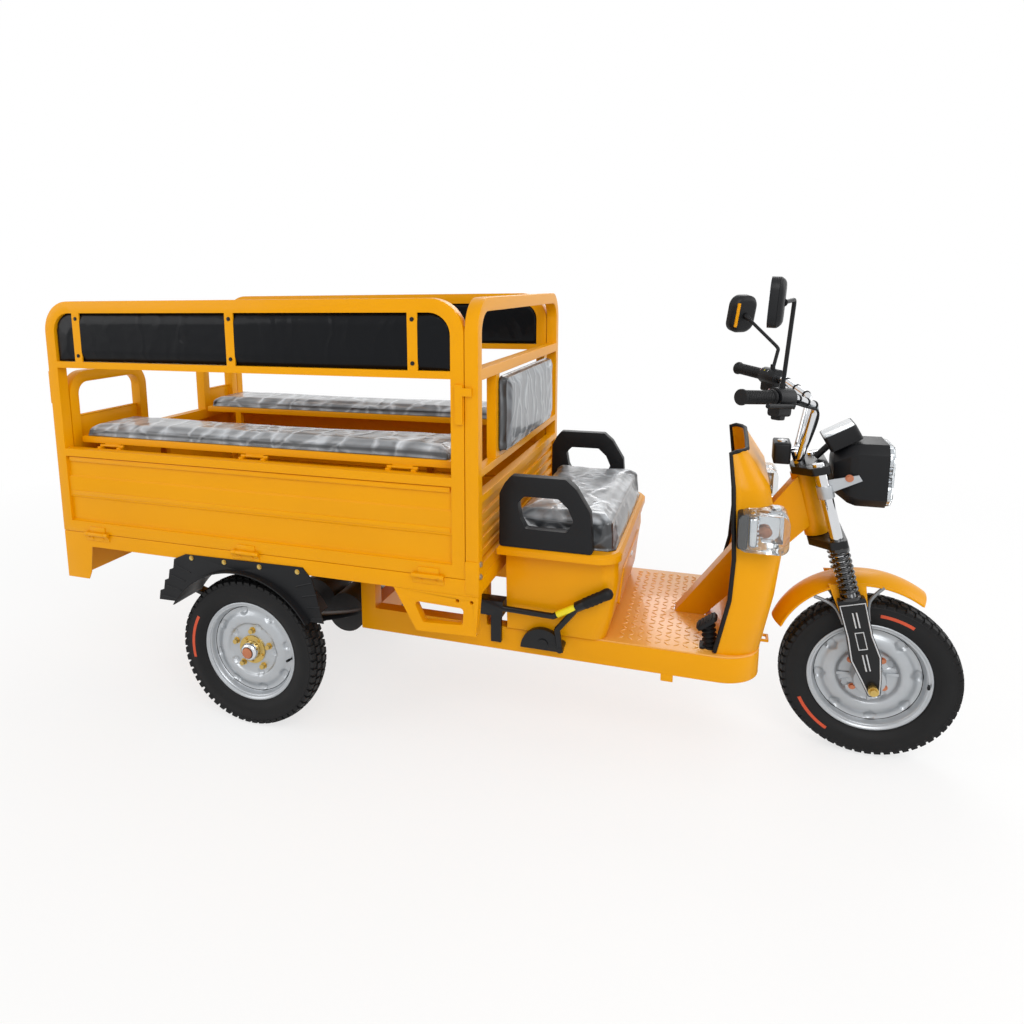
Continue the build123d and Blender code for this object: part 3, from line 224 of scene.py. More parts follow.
def addCamera(look):
    around, above, roll = (radians(look[key]) for key in ("azimuth", "elevation", "roll"))
    back = Vector((sin(around) * cos(above), -cos(around) * cos(above), sin(above)))
    right = Vector((cos(around), sin(around), 0))
    up = back.cross(right)
    axes = (cos(roll) * right + sin(roll) * up, cos(roll) * up - sin(roll) * right, back)
    camera = bpy.data.objects.new("camera", bpy.data.cameras.new("camera"))
    bpy.context.scene.collection.objects.link(camera)
    turn = Matrix(axes).transposed().to_4x4()
    camera.matrix_world = Matrix.Translation(Vector(look["place"]) * mm) @ turn
    camera.data.sensor_width = look["sensor"]
    camera.data.lens = look["focal"] / look["frame"] * look["sensor"]
    camera.data.shift_x = 0.5 - look["centre"][0] / look["frame"]
    camera.data.shift_y = look["centre"][1] / look["frame"] - 0.5
    bpy.context.scene.camera = camera


addCamera(cameraFit)

# soft boxes: place, aim, width and height in metres, power in watts
softBoxes = {
    "keyBox": ((2.2, -4.2, 4.2), (0, 0, 0.6), 3.2, 3.2, 145),
    "fillBox": ((-4.0, -3.0, 2.6), (-0.3, 0, 0.7), 3.0, 2.6, 50),
    "backBox": ((0.6, 4.2, 3.6), (0, 0, 0.7), 3.6, 2.6, 80),
    "frontBox": ((4.6, 0.6, 2.6), (0.6, 0, 0.6), 2.6, 2.6, 50),
}
for name, (place, aim, width, height, power) in softBoxes.items():
    lamp = bpy.data.lights.new(name, "AREA")
    lamp.shape = "RECTANGLE"
    lamp.size, lamp.size_y, lamp.energy = width, height, power
    holder = bpy.data.objects.new(name, lamp)
    holder.location = place
    holder.rotation_euler = (Vector(aim) - Vector(place)).to_track_quat("-Z", "Y").to_euler()
    bpy.context.scene.collection.objects.link(holder)


def seenRays(tree):
    rays = addNode(tree, "ShaderNodeLightPath", {})
    seen = rays.outputs["Is Camera Ray"]
    for other in ("Is Glossy Ray", "Is Transmission Ray"):
        either = addNode(tree, "ShaderNodeMath", {"operation": "MAXIMUM"}, {0: seen, 1: rays.outputs[other]})
        seen = either.outputs[0]
    return seen


# white room: what the camera and mirrors see is white, what lights the object is softer
roomLook = {"ambient": 0.46, "floor": "#fbfbfa", "half": 30, "fade": (1.2, 4.5), "near": 0.72}


def addRoom(look):
    world = bpy.data.worlds.new("whiteRoom")
    bpy.context.scene.world = world
    world.use_nodes = True
    tree = world.node_tree
    tree.nodes.clear()
    seen = seenRays(tree)
    dim = addNode(tree, "ShaderNodeBackground", {"Color": (1, 1, 1, 1), "Strength": look["ambient"]})
    white = addNode(tree, "ShaderNodeBackground", {"Color": (1, 1, 1, 1), "Strength": 1.0})
    both = addNode(tree, "ShaderNodeMixShader", {}, {0: seen, 1: dim.outputs[0], 2: white.outputs[0]})
    addNode(tree, "ShaderNodeOutputWorld", {}, {"Surface": both.outputs[0]})
    bm = bmesh.new()
    bmesh.ops.create_grid(bm, x_segments=1, y_segments=1, size=look["half"])
    mesh = bpy.data.meshes.new("floor")
    bm.to_mesh(mesh)
    bm.free()
    material, tree, shader, place = newMaterial("paleFloor", {
        "Base Color": linear(look["floor"]), "Roughness": 0.9})
    seen = seenRays(tree)
    reach = addNode(tree, "ShaderNodeVectorMath", {"operation": "LENGTH"}, {0: place})
    near = addNode(tree, "ShaderNodeMapRange",
                   {"From Min": look["fade"][0], "From Max": look["fade"][1], "To Min": look["near"]},
                   {"Value": reach.outputs["Value"]})
    share = addNode(tree, "ShaderNodeMath", {"operation": "MULTIPLY"}, {0: seen, 1: near.outputs["Result"]})
    white = addNode(tree, "ShaderNodeEmission", {"Color": (1, 1, 1, 1), "Strength": 1.0})
    both = addNode(tree, "ShaderNodeMixShader", {},
                   {0: share.outputs[0], 1: shader.outputs[0], 2: white.outputs[0]})
    tree.links.new(both.outputs[0], tree.nodes["Material Output"].inputs["Surface"])
    mesh.materials.append(material)
    floor = bpy.data.objects.new("floor", mesh)
    bpy.context.scene.collection.objects.link(floor)


addRoom(roomLook)
bpy.context.scene.view_settings.view_transform = "Standard"
print("camera, light and floor set")


def edgeSmoothing(angle):
    group = bpy.data.node_groups.new("smoothToEdges", "GeometryNodeTree")
    group.interface.new_socket("Geometry", in_out="INPUT", socket_type="NodeSocketGeometry")
    group.interface.new_socket("Geometry", in_out="OUTPUT", socket_type="NodeSocketGeometry")
    start = addNode(group, "NodeGroupInput", {})
    allSmooth = addNode(group, "GeometryNodeSetShadeSmooth", {"domain": "FACE"},
                        {"Geometry": start.outputs[0]})
    turn = addNode(group, "GeometryNodeInputMeshEdgeAngle", {})
    soft = addNode(group, "FunctionNodeCompare", {"operation": "LESS_THAN", 1: radians(angle)},
                   {0: turn.outputs["Unsigned Angle"]})
    kept = addNode(group, "GeometryNodeSetShadeSmooth", {"domain": "EDGE"},
                   {"Geometry": allSmooth.outputs[0], "Shade Smooth": soft.outputs[0]})
    addNode(group, "NodeGroupOutput", {}, {0: kept.outputs[0]})
    return group


smoothing = edgeSmoothing(32)

# solids that are shown as they are, under their finish, with the rounding of their edges in millimetres
nodeFinish = {
    "yellow": {"main_frame": 4, "down_tube": 4, "rear_rails": 3, "step_brackets": 0.5,
               "gate_hinge_leaves": 0.6, "leg_shield": 0.8, "seat_box": 0.8, "seat_lid": 3, "bed_base": 1.5,
               "bed_front_frame": 3, "side_gate_right": 1.5, "side_gate_left": 1.5, "bench_frame_right": 1.5,
               "bench_frame_left": 1.5, "tailgate": 2, "front_fender": 1},
    "plastic": {"armrests": 7, "rear_fenders": 1.2, "headlamp": 3, "switch_clusters": 3, "speedometer": 4,
                "ignition_box": 8},
    "blackPaint": {"leaf_springs": 2, "fork_legs": 4, "fork_crown": 3, "hand_brake": 2},
    "chrome": {"fork_tubes": 1, "handlebar": 0.8}, "lens": {"headlamp_lens": 2, "turn_lamps": 6},
    "cast": {"rear_axle": 3, "drive_motor": 5}, "floor": {"floor_plate": 0.8}, "red": {"tail_lamps": 3},
    "battery": {"battery_pack": 4}, "gold": {"front_axle": 0.8}, "silver": {"lamp_arms": 1},
}


def dressSolid(solid, coat, rounding):
    solid.data.materials.clear()
    solid.data.materials.append(finish[coat])
    weld = solid.modifiers.new("weld", "WELD")
    weld.merge_threshold = weldGap
    bevel = solid.modifiers.new("edges", "BEVEL")
    bevel.width = rounding * mm
    bevel.segments = 3 if rounding > 2 else 2
    bevel.limit_method = "ANGLE"
    bevel.angle_limit = radians(34)
    smooth = solid.modifiers.new("smooth", "NODES")
    smooth.node_group = smoothing


for coat, rows in nodeFinish.items():
    for node, rounding in rows.items():
        dressSolid(frame["nodes"][node], coat, rounding)
print("solids dressed:", sum(len(rows) for rows in nodeFinish.values()))


def makePiece(name, bm, coat, body, replaced=None, sharp=36):
    bmesh.ops.remove_doubles(bm, verts=bm.verts, dist=weldGap)
    bmesh.ops.recalc_face_normals(bm, faces=bm.faces)
    mesh = bpy.data.meshes.new(name)
    bm.to_mesh(mesh)
    bm.free()
    mesh.materials.append(finish[coat])
    mesh.shade_smooth()
    mesh.set_sharp_from_angle(angle=radians(sharp))
    piece = bpy.data.objects.new(name, mesh)
    bpy.context.scene.collection.objects.link(piece)
    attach(piece, body)
    if replaced:
        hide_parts(replaced)
    return piece


def facing(place, direction):
    turn = Vector(direction).to_track_quat("Z", "Y").to_matrix().to_4x4()
    return Matrix.Translation(Vector(place) * mm) @ turn


def roundEdges(bm, edges, offset, segments=2):
    bmesh.ops.bevel(bm, geom=edges, offset=offset * mm, offset_type="OFFSET", segments=segments, profile=0.5,
                    affect="EDGES", material=-1, clamp_overlap=True)


def addBlock(bm, low, high, bevel=0.0, frameAt=None, segments=2):
    low, high = Vector(low) * mm, Vector(high) * mm
    spot = Matrix.Translation((low + high) / 2) @ Matrix.Diagonal((*(high - low), 1))
    made = bmesh.ops.create_cube(bm, size=1.0, matrix=(frameAt or Matrix()) @ spot)["verts"]
    if bevel:
        roundEdges(bm, list({edge for vert in made for edge in vert.link_edges}), bevel, segments)


# block given by its corners on the left; s puts it on its side
def addSideBlock(bm, s, low, high, bevel):
    near, far = sorted((s * low[1], s * high[1]))
    addBlock(bm, (low[0], near, low[2]), (high[0], far, high[2]), bevel)


def addRod(bm, start, end, radius, tip=None, segments=24, bevel=0.0):
    start, end = Vector(start) * mm, Vector(end) * mm
    run = end - start
    spot = Matrix.Translation((start + end) / 2) @ run.to_track_quat("Z", "Y").to_matrix().to_4x4()
    made = bmesh.ops.create_cone(bm, cap_ends=True, segments=segments, radius1=radius * mm,
                                 radius2=(radius if tip is None else tip) * mm, depth=run.length,
                                 matrix=spot)["verts"]
    if bevel:
        caps = {face for vert in made for face in vert.link_faces if len(face.verts) == segments}
        roundEdges(bm, list({edge for face in caps for edge in face.edges}), bevel)


# profile rows hold: radius, height along the axis; the axis is the local Z of the given frame
def addSpun(bm, profile, frameAt, steps=64, closed=False):
    verts = [bm.verts.new(frameAt @ (Vector((radius, 0, height)) * mm)) for radius, height in profile]
    pairs = list(zip(verts, verts[1:] + verts[:1])) if closed else list(zip(verts, verts[1:]))
    edges = [bm.edges.new(pair) for pair in pairs]
    axis = frameAt.to_3x3() @ Vector((0, 0, 1))
    bmesh.ops.spin(bm, geom=verts + edges, cent=frameAt.translation, axis=axis, angle=2 * pi, steps=steps,
                   use_merge=True)


def addTube(bm, points, radius, cyclic=False, soft=False, detail=3):
    curve = bpy.data.curves.new("path", "CURVE")
    curve.dimensions = "3D"
    spline = curve.splines.new("NURBS" if soft else "POLY")
    spline.points.add(len(points) - 1)
    for point, place in zip(spline.points, points):
        point.co = (*(Vector(place) * mm), 1)
    spline.use_cyclic_u = cyclic
    if soft:
        spline.order_u = 3
        spline.use_endpoint_u = True
    curve.bevel_depth = radius * mm
    curve.bevel_resolution = detail
    curve.use_fill_caps = True
    holder = bpy.data.objects.new("path", curve)
    mesh = bpy.data.meshes.new_from_object(holder)
    bm.from_mesh(mesh)
    bpy.data.objects.remove(holder)
    bpy.data.meshes.remove(mesh)
    bpy.data.curves.remove(curve)


def addBolt(bm, place, direction, radius=6.0, height=5.0):
    spot = facing(place, direction)
    for low, high, wide, count in ((0, 1.5, 1.35, 20), (1.5, height, 1.0, 6)):
        bmesh.ops.create_cone(bm, cap_ends=True, segments=count, depth=(high - low) * mm,
                              radius1=radius * wide * mm, radius2=radius * wide * mm,
                              matrix=spot @ Matrix.Translation((0, 0, (low + high) / 2 * mm)))


def jointPoint(name):
    return next(Vector(joint["pos_m"]) / mm for joint in frame["joints"] if joint["name"] == name)


# wheels: section rows hold the share of the height from rim lip to tread, and half the width there
tyreLook = {"lip": 166.5, "blocks": 58, "crown": 115.0, "depth": 11.0, "steps": 116, "block": (0.74, 0.62),
            "marks": (0.40, 0.52), "mark": ((0, 46.4), (0, 47.0), (0.5, 47.2), (1, 46.9), (1, 46.2)),
            "section": ((0.0, 29), (0.05, 34), (0.10, 35), (0.2, 42), (0.38, 46.5), (0.55, 46.2),
                        (0.70, 43.5), (0.73, 44), (0.80, 41), (0.89, 34), (0.915, 20), (0.92, 0))}
# tread rows hold: distance from the middle, width, length, phase of the pitch
treadRows = ((-36, 17, 19, 0.5), (-14.5, 20, 20, 0.0), (14.5, 20, 20, 0.5), (36, 17, 19, 0.0))


def addTyre(name, body, node, centre, radius, outward, markAngles):
    look = tyreLook
    spot = facing(centre, (0, outward, 0))
    span = radius - look["lip"]
    half = [(look["lip"] + share * span, wide) for share, wide in look["section"]]
    inner = [(look["lip"] - 12, -16), (look["lip"] - 12, 16)]
    bm = bmesh.new()
    addSpun(bm, half + [(r, -wide) for r, wide in reversed(half[:-1])] + inner, spot, look["steps"],
            closed=True)
    for across, width, length, phase in treadRows:
        drop = across ** 2 / (2 * look["crown"])
        for i in range(look["blocks"]):
            turn = Matrix.Rotation(2 * pi * (i + phase) / look["blocks"], 4, "Z")
            lift = Matrix.Translation(Vector((radius - drop - look["depth"] / 2 - 0.4, 0, across)) * mm)
            lean = Matrix.Rotation(across / look["crown"], 4, "Y")
            size = Matrix.Diagonal((look["depth"] * mm, length * mm, width * mm, 1))
            square = Matrix.Rotation(pi / 2, 4, "Y") @ Matrix.Rotation(pi / 4, 4, "Z")
            foot, tip = look["block"]
            bmesh.ops.create_cone(bm, cap_ends=True, segments=4, radius1=foot, radius2=tip, depth=1.0,
                                  matrix=spot @ turn @ lift @ lean.inverted() @ size @ square)
    makePiece(name, bm, "tyre", body, node, 30)
    bm = bmesh.new()
    low, high = (look["lip"] + share * span for share in look["marks"])
    for start, sweep in markAngles:
        turn = Matrix.Rotation(radians(start), 4, "Z")
        verts = [bm.verts.new(spot @ turn @ (Vector((low + share * (high - low), 0, out)) * mm))
                 for share, out in look["mark"]]
        edges = [bm.edges.new(pair) for pair in zip(verts, verts[1:] + verts[:1])]
        bmesh.ops.spin(bm, geom=verts + edges, cent=spot.translation, axis=(0, outward, 0),
                       angle=radians(sweep), steps=14)
    bmesh.ops.holes_fill(bm, edges=[edge for edge in bm.edges if edge.is_boundary], sides=8)
    makePiece(f"{name}_marks", bm, "mark", body)


# rim rows hold: radius, outward offset; the disc is pressed with rows of round-ended pockets
rimLook = {
    "barrel": ((84, -1), (92, 8), (118, 7), (126, 0), (138, -4), (148, -4), (148, -31), (167, -31),
               (167, -28), (154, -27.6), (154, 27.6), (166.5, 28), (166.8, 30.6), (164.5, 32.2), (161, 31.4),
               (157.5, 27), (153.5, 25), (150.5, 21), (148.5, 13), (147, 9), (145, 6), (142, 4.6), (138.5, 4),
               (135, 3.7), (131.5, 4.4), (128, 5.6), (124.5, 7.6), (121, 10), (117, 12.2), (112, 13.8)),
    "rear": ((104, 15), (96, 15.4), (91, 14.4), (88, 11.6), (86, 8.6), (82, 7.2), (76, 7), (70, 7.2),
             (64, 7.6), (56, 8), (46, 8.6), (36, 9), (30, 9), (30, 1)),
    "front": ((106, 16.4), (98, 17), (91, 16.4), (86, 13), (82, 7), (78, 3), (72, 2.4), (62, 2.6), (50, 3),
              (44, 3), (44, -3)),
    "steps": 200, "seam": (144.6, 5.4, 1.3), "pressed": 147.5, "edge": 3.0,
    "plate": ((47, 8), (47, 14), (31, 14.5), (30.5, 16)),
    "rearHub": ((30, 1), (30, 30), (28.5, 35), (24, 40), (20, 41.5), (20, 30)),
    "cap": ((0, 47), (14, 47), (17.5, 45.5), (18.5, 41.5), (18.5, 38)),
    "frontHub": ((44, 4), (46, 4), (46, 40), (42, 50), (30, 54), (20, 56), (8, 56), (8, -59), (46, -59),
                 (46, -4), (44, -4)),
    "valve": (((157, 20), (152, 40), 3.6, 3.2), ((153, 37), (150, 49), 4.4, 4.0)),
    "spokes": (4, 0.9 + pi / 4, (48, -5, 2), (84, 5, 8)),
    # bolt rings hold: count, phase, radius of the ring, outward offset, radius and height of the head
    "rearNuts": (5, 0.3, 64, 7.2, 8.5, 15), "plateBolts": (5, 0.9, 39, 14, 4.5, 6),
    "frontNuts": (4, 0.9, 60, 2.4, 7.5, 8),
}
# pocket rows hold: wheel, count, radius of the ring, radius of the pocket, depth, phase
pocketRows = (("rear", 8, 131, 15, 5.5, 0.2), ("rear", 5, 84, 13, 4.0, 0.5), ("front", 8, 131, 16, 5.5, 0.35),
              ("front", 4, 66, 15, 5.0, 0.12))


def addBoltRing(bm, spot, outward, count, phase, ring, out, radius, height):
    for i in range(count):
        turn = spot @ Matrix.Rotation(2 * pi * i / count + phase, 4, "Z")
        addBolt(bm, turn @ Vector((ring * mm, 0, out * mm)) / mm, (0, outward, 0), radius, height)


def addRim(name, body, node, centre, outward, kind):
    spot = facing(centre, (0, outward, 0))
    back = spot.inverted()
    bm = bmesh.new()
    addSpun(bm, rimLook["barrel"] + rimLook[kind], spot, rimLook["steps"], closed=True)
    for wheel, count, ring, size, depth, phase in pocketRows:
        if wheel != kind:
            continue
        for vert in bm.verts:
            local = back @ vert.co / mm
            if hypot(local.x, local.y) > rimLook["pressed"]:
                continue
            turn = (atan2(local.y, local.x) / (2 * pi) * count + phase) % 1.0 - 0.5
            reach = hypot(hypot(local.x, local.y) - ring, turn * 2 * pi / count * ring)
            share = min(max((size - reach) / rimLook["edge"], 0.0), 1.0)
            local.z -= depth * share * share * (3 - 2 * share)
            vert.co = spot @ (local * mm)
    makePiece(name, bm, "silver", body, node, 50)
    bm = bmesh.new()
    nuts = bmesh.new()
    addBoltRing(nuts, spot, outward, *rimLook[f"{kind}Nuts"])
    if kind == "rear":
        addSpun(bm, rimLook["plate"], spot, 48)
        addBoltRing(bm, spot, outward, *rimLook["plateBolts"])
    else:
        count, phase, low, high = rimLook["spokes"]
        for i in range(count):
            addBlock(bm, low, high, 2.0, spot @ Matrix.Rotation(2 * pi * i / count + phase, 4, "Z"))
    makePiece(f"{name}_plate", bm, "gold" if kind == "rear" else "silver", body)
    makePiece(f"{name}_nuts", nuts, "copper" if kind == "front" else "gold", body)
    if kind == "rear":
        bm = bmesh.new()
        addSpun(bm, rimLook["rearHub"], spot, 48)
        makePiece(f"{name}_hub", bm, "chrome", body)
        bm = bmesh.new()
        addSpun(bm, rimLook["cap"], spot, 40)
        makePiece(f"{name}_cap", bm, "copper", body)
    else:
        bm = bmesh.new()
        addSpun(bm, rimLook["frontHub"], spot, 48, closed=True)
        makePiece(f"{name}_hub", bm, "silver", body)
    bm = bmesh.new()
    ring, out, wire = rimLook["seam"]
    addSpun(bm, ((ring - wire, out), (ring, out + wire), (ring + wire, out), (ring, out - wire)), spot, 120,
            closed=True)
    makePiece(f"{name}_seam", bm, "rubber", body)
    bm = bmesh.new()
    for start, end, radius, tip in rimLook["valve"]:
        low, high = (spot @ Vector((ring * mm, 0, out * mm)) / mm for ring, out in (start, end))
        addRod(bm, low, high, radius, tip, 14)
    makePiece(f"{name}_valve", bm, "rubber", body)


for side, s in sides:
    hub = jointPoint(f"rear_wheel_{side}")
    addTyre(f"rear_tyre_tread_{side}", f"rear_wheel_{side}", f"rear_tyre_{side}", hub, 250.0, s, ((150, 42),))
    addRim(f"rear_rim_pressed_{side}", f"rear_wheel_{side}", f"rear_rim_{side}", hub, s, "rear")
hub = jointPoint("front_wheel")
addTyre("front_tyre_tread", "front_wheel", "front_tyre", hub, 245.0, -1, ((60, 26), (205, 34)))
addRim("front_rim_pressed", "front_wheel", "front_rim", hub, -1, "front")
print("wheels made")


# rounded plate in the XY plane of a frame, from low to high along its Z; taper shrinks the far end
def addPlate(bm, frameAt, width, height, corner, low, high, bevel=0.0, segments=2, taper=1.0):
    before = set(bm.faces)
    spot = frameAt @ Matrix.Translation((0, 0, low * mm)) @ Matrix.Diagonal((width * mm, height * mm, 1, 1))
    made = bmesh.ops.create_grid(bm, x_segments=1, y_segments=1, size=0.5, matrix=spot)["verts"]
    bmesh.ops.bevel(bm, geom=made, offset=corner * mm, offset_type="OFFSET", segments=8, profile=0.5,
                    affect="VERTICES", material=-1, clamp_overlap=True)
    ground = [face for face in bm.faces if face not in before]
    raised = bmesh.ops.extrude_face_region(bm, geom=ground)["geom"]
    verts = [item for item in raised if isinstance(item, bmesh.types.BMVert)]
    caps = [item for item in raised if isinstance(item, bmesh.types.BMFace)]
    rise = Matrix.Translation((0, 0, (high - low) * mm)) @ Matrix.Diagonal((taper, taper, 1, 1))
    bmesh.ops.transform(bm, matrix=frameAt @ rise @ frameAt.inverted(), verts=verts)
    if bevel:
        roundEdges(bm, list({edge for face in caps for edge in face.edges}), bevel, segments)


axle = jointPoint("front_wheel")
rake = radians(15.5)
forkUp = Vector((-sin(rake), 0, cos(rake)))
forkAhead = Vector((cos(rake), 0, sin(rake)))


def forkPoint(ahead, across, along):
    return axle + forkAhead * ahead + forkUp * along + Vector((0, across, 0))


# fork springs; collar rows hold: low, high, radius
springLook = {"across": 88, "wire": 4.8, "coil": 22.3, "from": 285, "to": 416, "turns": 8, "steps": 20,
              "collars": ((272, 282, 28), (418, 428, 27.5))}
bm = bmesh.new()
for side, s in sides:
    look = springLook
    foot = forkPoint(0, s * look["across"], look["from"])
    ring = bmesh.ops.create_circle(bm, segments=10, radius=look["wire"] * mm,
                                   matrix=facing(foot + forkAhead * look["coil"], (0, 1, 0)))["verts"]
    count = look["turns"] * look["steps"]
    bmesh.ops.spin(bm, geom=ring + list({edge for vert in ring for edge in vert.link_edges}),
                   cent=foot * mm, axis=forkUp,
                   dvec=forkUp * ((look["to"] - look["from"]) / count * mm), angle=2 * pi * look["turns"],
                   steps=count)
    for low, high, wide in look["collars"]:
        addRod(bm, forkPoint(0, s * look["across"], low), forkPoint(0, s * look["across"], high), wide,
               bevel=1.5)
bmesh.ops.holes_fill(bm, edges=[edge for edge in bm.edges if edge.is_boundary], sides=12)
makePiece("fork_spring_coils", bm, "gloss", "steering", "fork_springs")

# painted outline and lines on the fork legs; points hold: ahead, along
legTrim = {"across": 103.2, "wire": 2.1,
           "outline": ((-33, 258), (-31, 160), (-36, 92), (-22.5, 31), (-13, -17), (13, -17), (26.5, 31),
                       (38, 92), (30, 160), (33, 258)),
           "window": ((-11, 122), (11, 122), (11, 173), (-11, 173)),
           "dashes": ((-5, 188, 234), (5, 188, 234), (-5, 56, 106), (5, 56, 106))}
bm = bmesh.new()
for side, s in sides:
    across = s * legTrim["across"]
    for loop in (legTrim["outline"], legTrim["window"]):
        addTube(bm, [forkPoint(ahead, across, along) for ahead, along in loop], legTrim["wire"], cyclic=True)
    for ahead, low, high in legTrim["dashes"]:
        addTube(bm, [forkPoint(ahead, across, low), forkPoint(ahead, across, high)], legTrim["wire"])
makePiece("fork_leg_lines", bm, "line", "steering")

# fender stays, curved up from the legs to the fender's edges; points hold: ahead, along
stayLook = {"across": 69, "wire": 5.0, "path": ((34, 190), (38, 232), (56, 262), (92, 284))}
bm = bmesh.new()
for side, s in sides:
    for way in (-1, 1):
        path = [forkPoint(way * ahead, s * stayLook["across"], along) for ahead, along in stayLook["path"]]
        addTube(bm, path, stayLook["wire"], soft=True)
makePiece("front_fender_stays", bm, "grey", "steering")

# rolled lips of the front fender
lipLook = {"centre": (1136.5, 0, 305), "radius": 240, "half": 69, "wire": 4.0, "from": 55, "to": 159,
           "count": 30}
lipSweep = lipLook["to"] - lipLook["from"]
lipTurns = [radians(lipLook["from"] + lipSweep * i / lipLook["count"]) for i in range(lipLook["count"] + 1)]
bm = bmesh.new()
for side, s in sides:
    edge = Vector(lipLook["centre"]) + Vector((0, s * lipLook["half"], 0))
    addTube(bm, [edge + Vector((cos(turn), 0, sin(turn))) * lipLook["radius"] for turn in lipTurns],
            lipLook["wire"])
makePiece("front_fender_lips", bm, "yellow", "steering")
print("fork made")

# black edge trim of the leg shield; rows hold: height, rear edge, half width
shieldTrim = {"radius": 6.0, "edge": ((384, 729.5, 306), (540, 761.5, 302), (655, 767.5, 292),
                                      (850, 757.5, 270), (940, 746, 230)),
              "top": ((762, 226), (780, 204), (789, 172), (790, 0)), "height": 946}
bm = bmesh.new()
for side, s in sides:
    path = [(x, s * half, z) for z, x, half in shieldTrim["edge"]]
    path += [(x, s * half, shieldTrim["height"]) for x, half in shieldTrim["top"]]
    addTube(bm, path, shieldTrim["radius"])
makePiece("shield_trim", bm, "rubber", "chassis")

# closing plates where the down tube passes the shield; rows hold: middle, way they face, height
collarLook = {"wide": 82, "depth": (-5, -1), "rows": (((888.6, 0, 615), (1, 0, -0.122), 82),
                                                      ((877.9, 0, 727.5), (1, 0, 0.215), 150))}
bm = bmesh.new()
for middle, way, tall in collarLook["rows"]:
    addPlate(bm, facing(middle, way), collarLook["wide"], tall, 2, *collarLook["depth"], 0.5)
makePiece("shield_collar", bm, "yellow", "chassis")

# turn lamps: black backs, ribbed reflectors, liners and amber bulbs inside the clear housings
turnLook = {"back": ((771, 262, 699), (798, 336, 797)), "reflector": ((801, 272, 708), (822, 328, 788)),
            "liner": ((800, 268, 714), (886, 271, 784)), "ribs": 7,
            "bulb": ((0, 34), (8, 31), (14, 24), (16, 14), (12, 2), (10, -4), (0, -4))}
backs, ambers, bulbs = bmesh.new(), bmesh.new(), bmesh.new()
for side, s in sides:
    for bm, key, bevel in ((backs, "back", 8), (ambers, "reflector", 6), (ambers, "liner", 1.5)):
        addSideBlock(bm, s, *turnLook[key], bevel)
    low, high = turnLook["reflector"]
    for i in range(turnLook["ribs"]):
        z = low[2] + (high[2] - low[2]) * (i + 0.5) / turnLook["ribs"]
        addRod(ambers, (high[0], s * (low[1] + 4), z), (high[0], s * (high[1] - 4), z), 3.2, segments=12)
    addSpun(bulbs, turnLook["bulb"],
            facing((high[0] + 3, s * (low[1] + high[1]) / 2, (low[2] + high[2]) / 2), (1, 0, 0)), 24)
makePiece("turn_lamp_backs", backs, "plastic", "chassis")
makePiece("turn_lamp_reflectors", ambers, "chrome", "chassis")
makePiece("turn_lamp_bulbs", bulbs, "amber", "chassis")

# headlamp: four bright bowls behind the clear lens and a bright bezel; bowl rows hold radius, depth
lampLook = {"middle": (1157.6, 0, 866), "pitch": 40,
            "bowl": ((6, -6), (16, -4), (27, 1), (34, 6.5), (36.5, 9), (38, 8.5), (38, 0)),
            "bulb": ((0, 6), (5, 4.5), (7, 0), (7, -6)), "bezel": (164, 158, 34),
            "bolt": (1060, 97.2, 862), "boltHead": (8, 6)}
bm = bmesh.new()
for across in (-1, 1):
    for above in (-1, 1):
        spot = facing(Vector(lampLook["middle"]) + Vector((0.5, across * lampLook["pitch"],
                                                           above * lampLook["pitch"])), (1, 0, 0))
        addSpun(bm, lampLook["bowl"], spot, 40)
        addSpun(bm, lampLook["bulb"], spot, 20)
addPlate(bm, facing(lampLook["middle"], (1, 0, 0)), *lampLook["bezel"], 0, 1.2, 0.5)
makePiece("headlamp_bowls", bm, "chrome", "steering")
bm = bmesh.new()
for side, s in sides:
    x, y, z = lampLook["bolt"]
    addBolt(bm, (x, s * y, z), (0, s, 0), *lampLook["boltHead"])
makePiece("lamp_arm_bolts", bm, "copper", "steering")
print("lamps made")

# handlebar ends, given on the left; grip rows hold radius and distance from the bar's end
barLook = {"end": (761.5, 370, 1118), "turn": (896.5, 215, 1100), "inner": (963.5, 92, 1062),
           "riser": (933.5, 58, 899), "switch": (36, 52, 9), "switchAt": 152, "cable": 3.4, "cableFrom": 176,
           "ties": (0.12, 0.5, 0.86), "ribs": 15, "ribPitch": 6.4,
           "rib": ((16.9, 10), (18.5, 11.4), (18.5, 13.6), (16.9, 15)),
           "grip": [(0, -3), (20, -3), (21.4, -1), (21.4, 3), (19, 5.5), (17.2, 7.5)],
           "gripEnd": [(17.2, 109), (21.5, 111), (22.2, 114), (21.5, 118), (20, 119.5), (9, 119.5)]}
barRibs = [(radius, along + barLook["ribPitch"] * i) for i in range(barLook["ribs"])
           for radius, along in barLook["rib"]]
barGrip = barLook["grip"] + barRibs + barLook["gripEnd"]
grips, boxes, cables, ties = bmesh.new(), bmesh.new(), bmesh.new(), bmesh.new()
buttons = {"red": bmesh.new(), "stripe": bmesh.new(), "line": bmesh.new()}
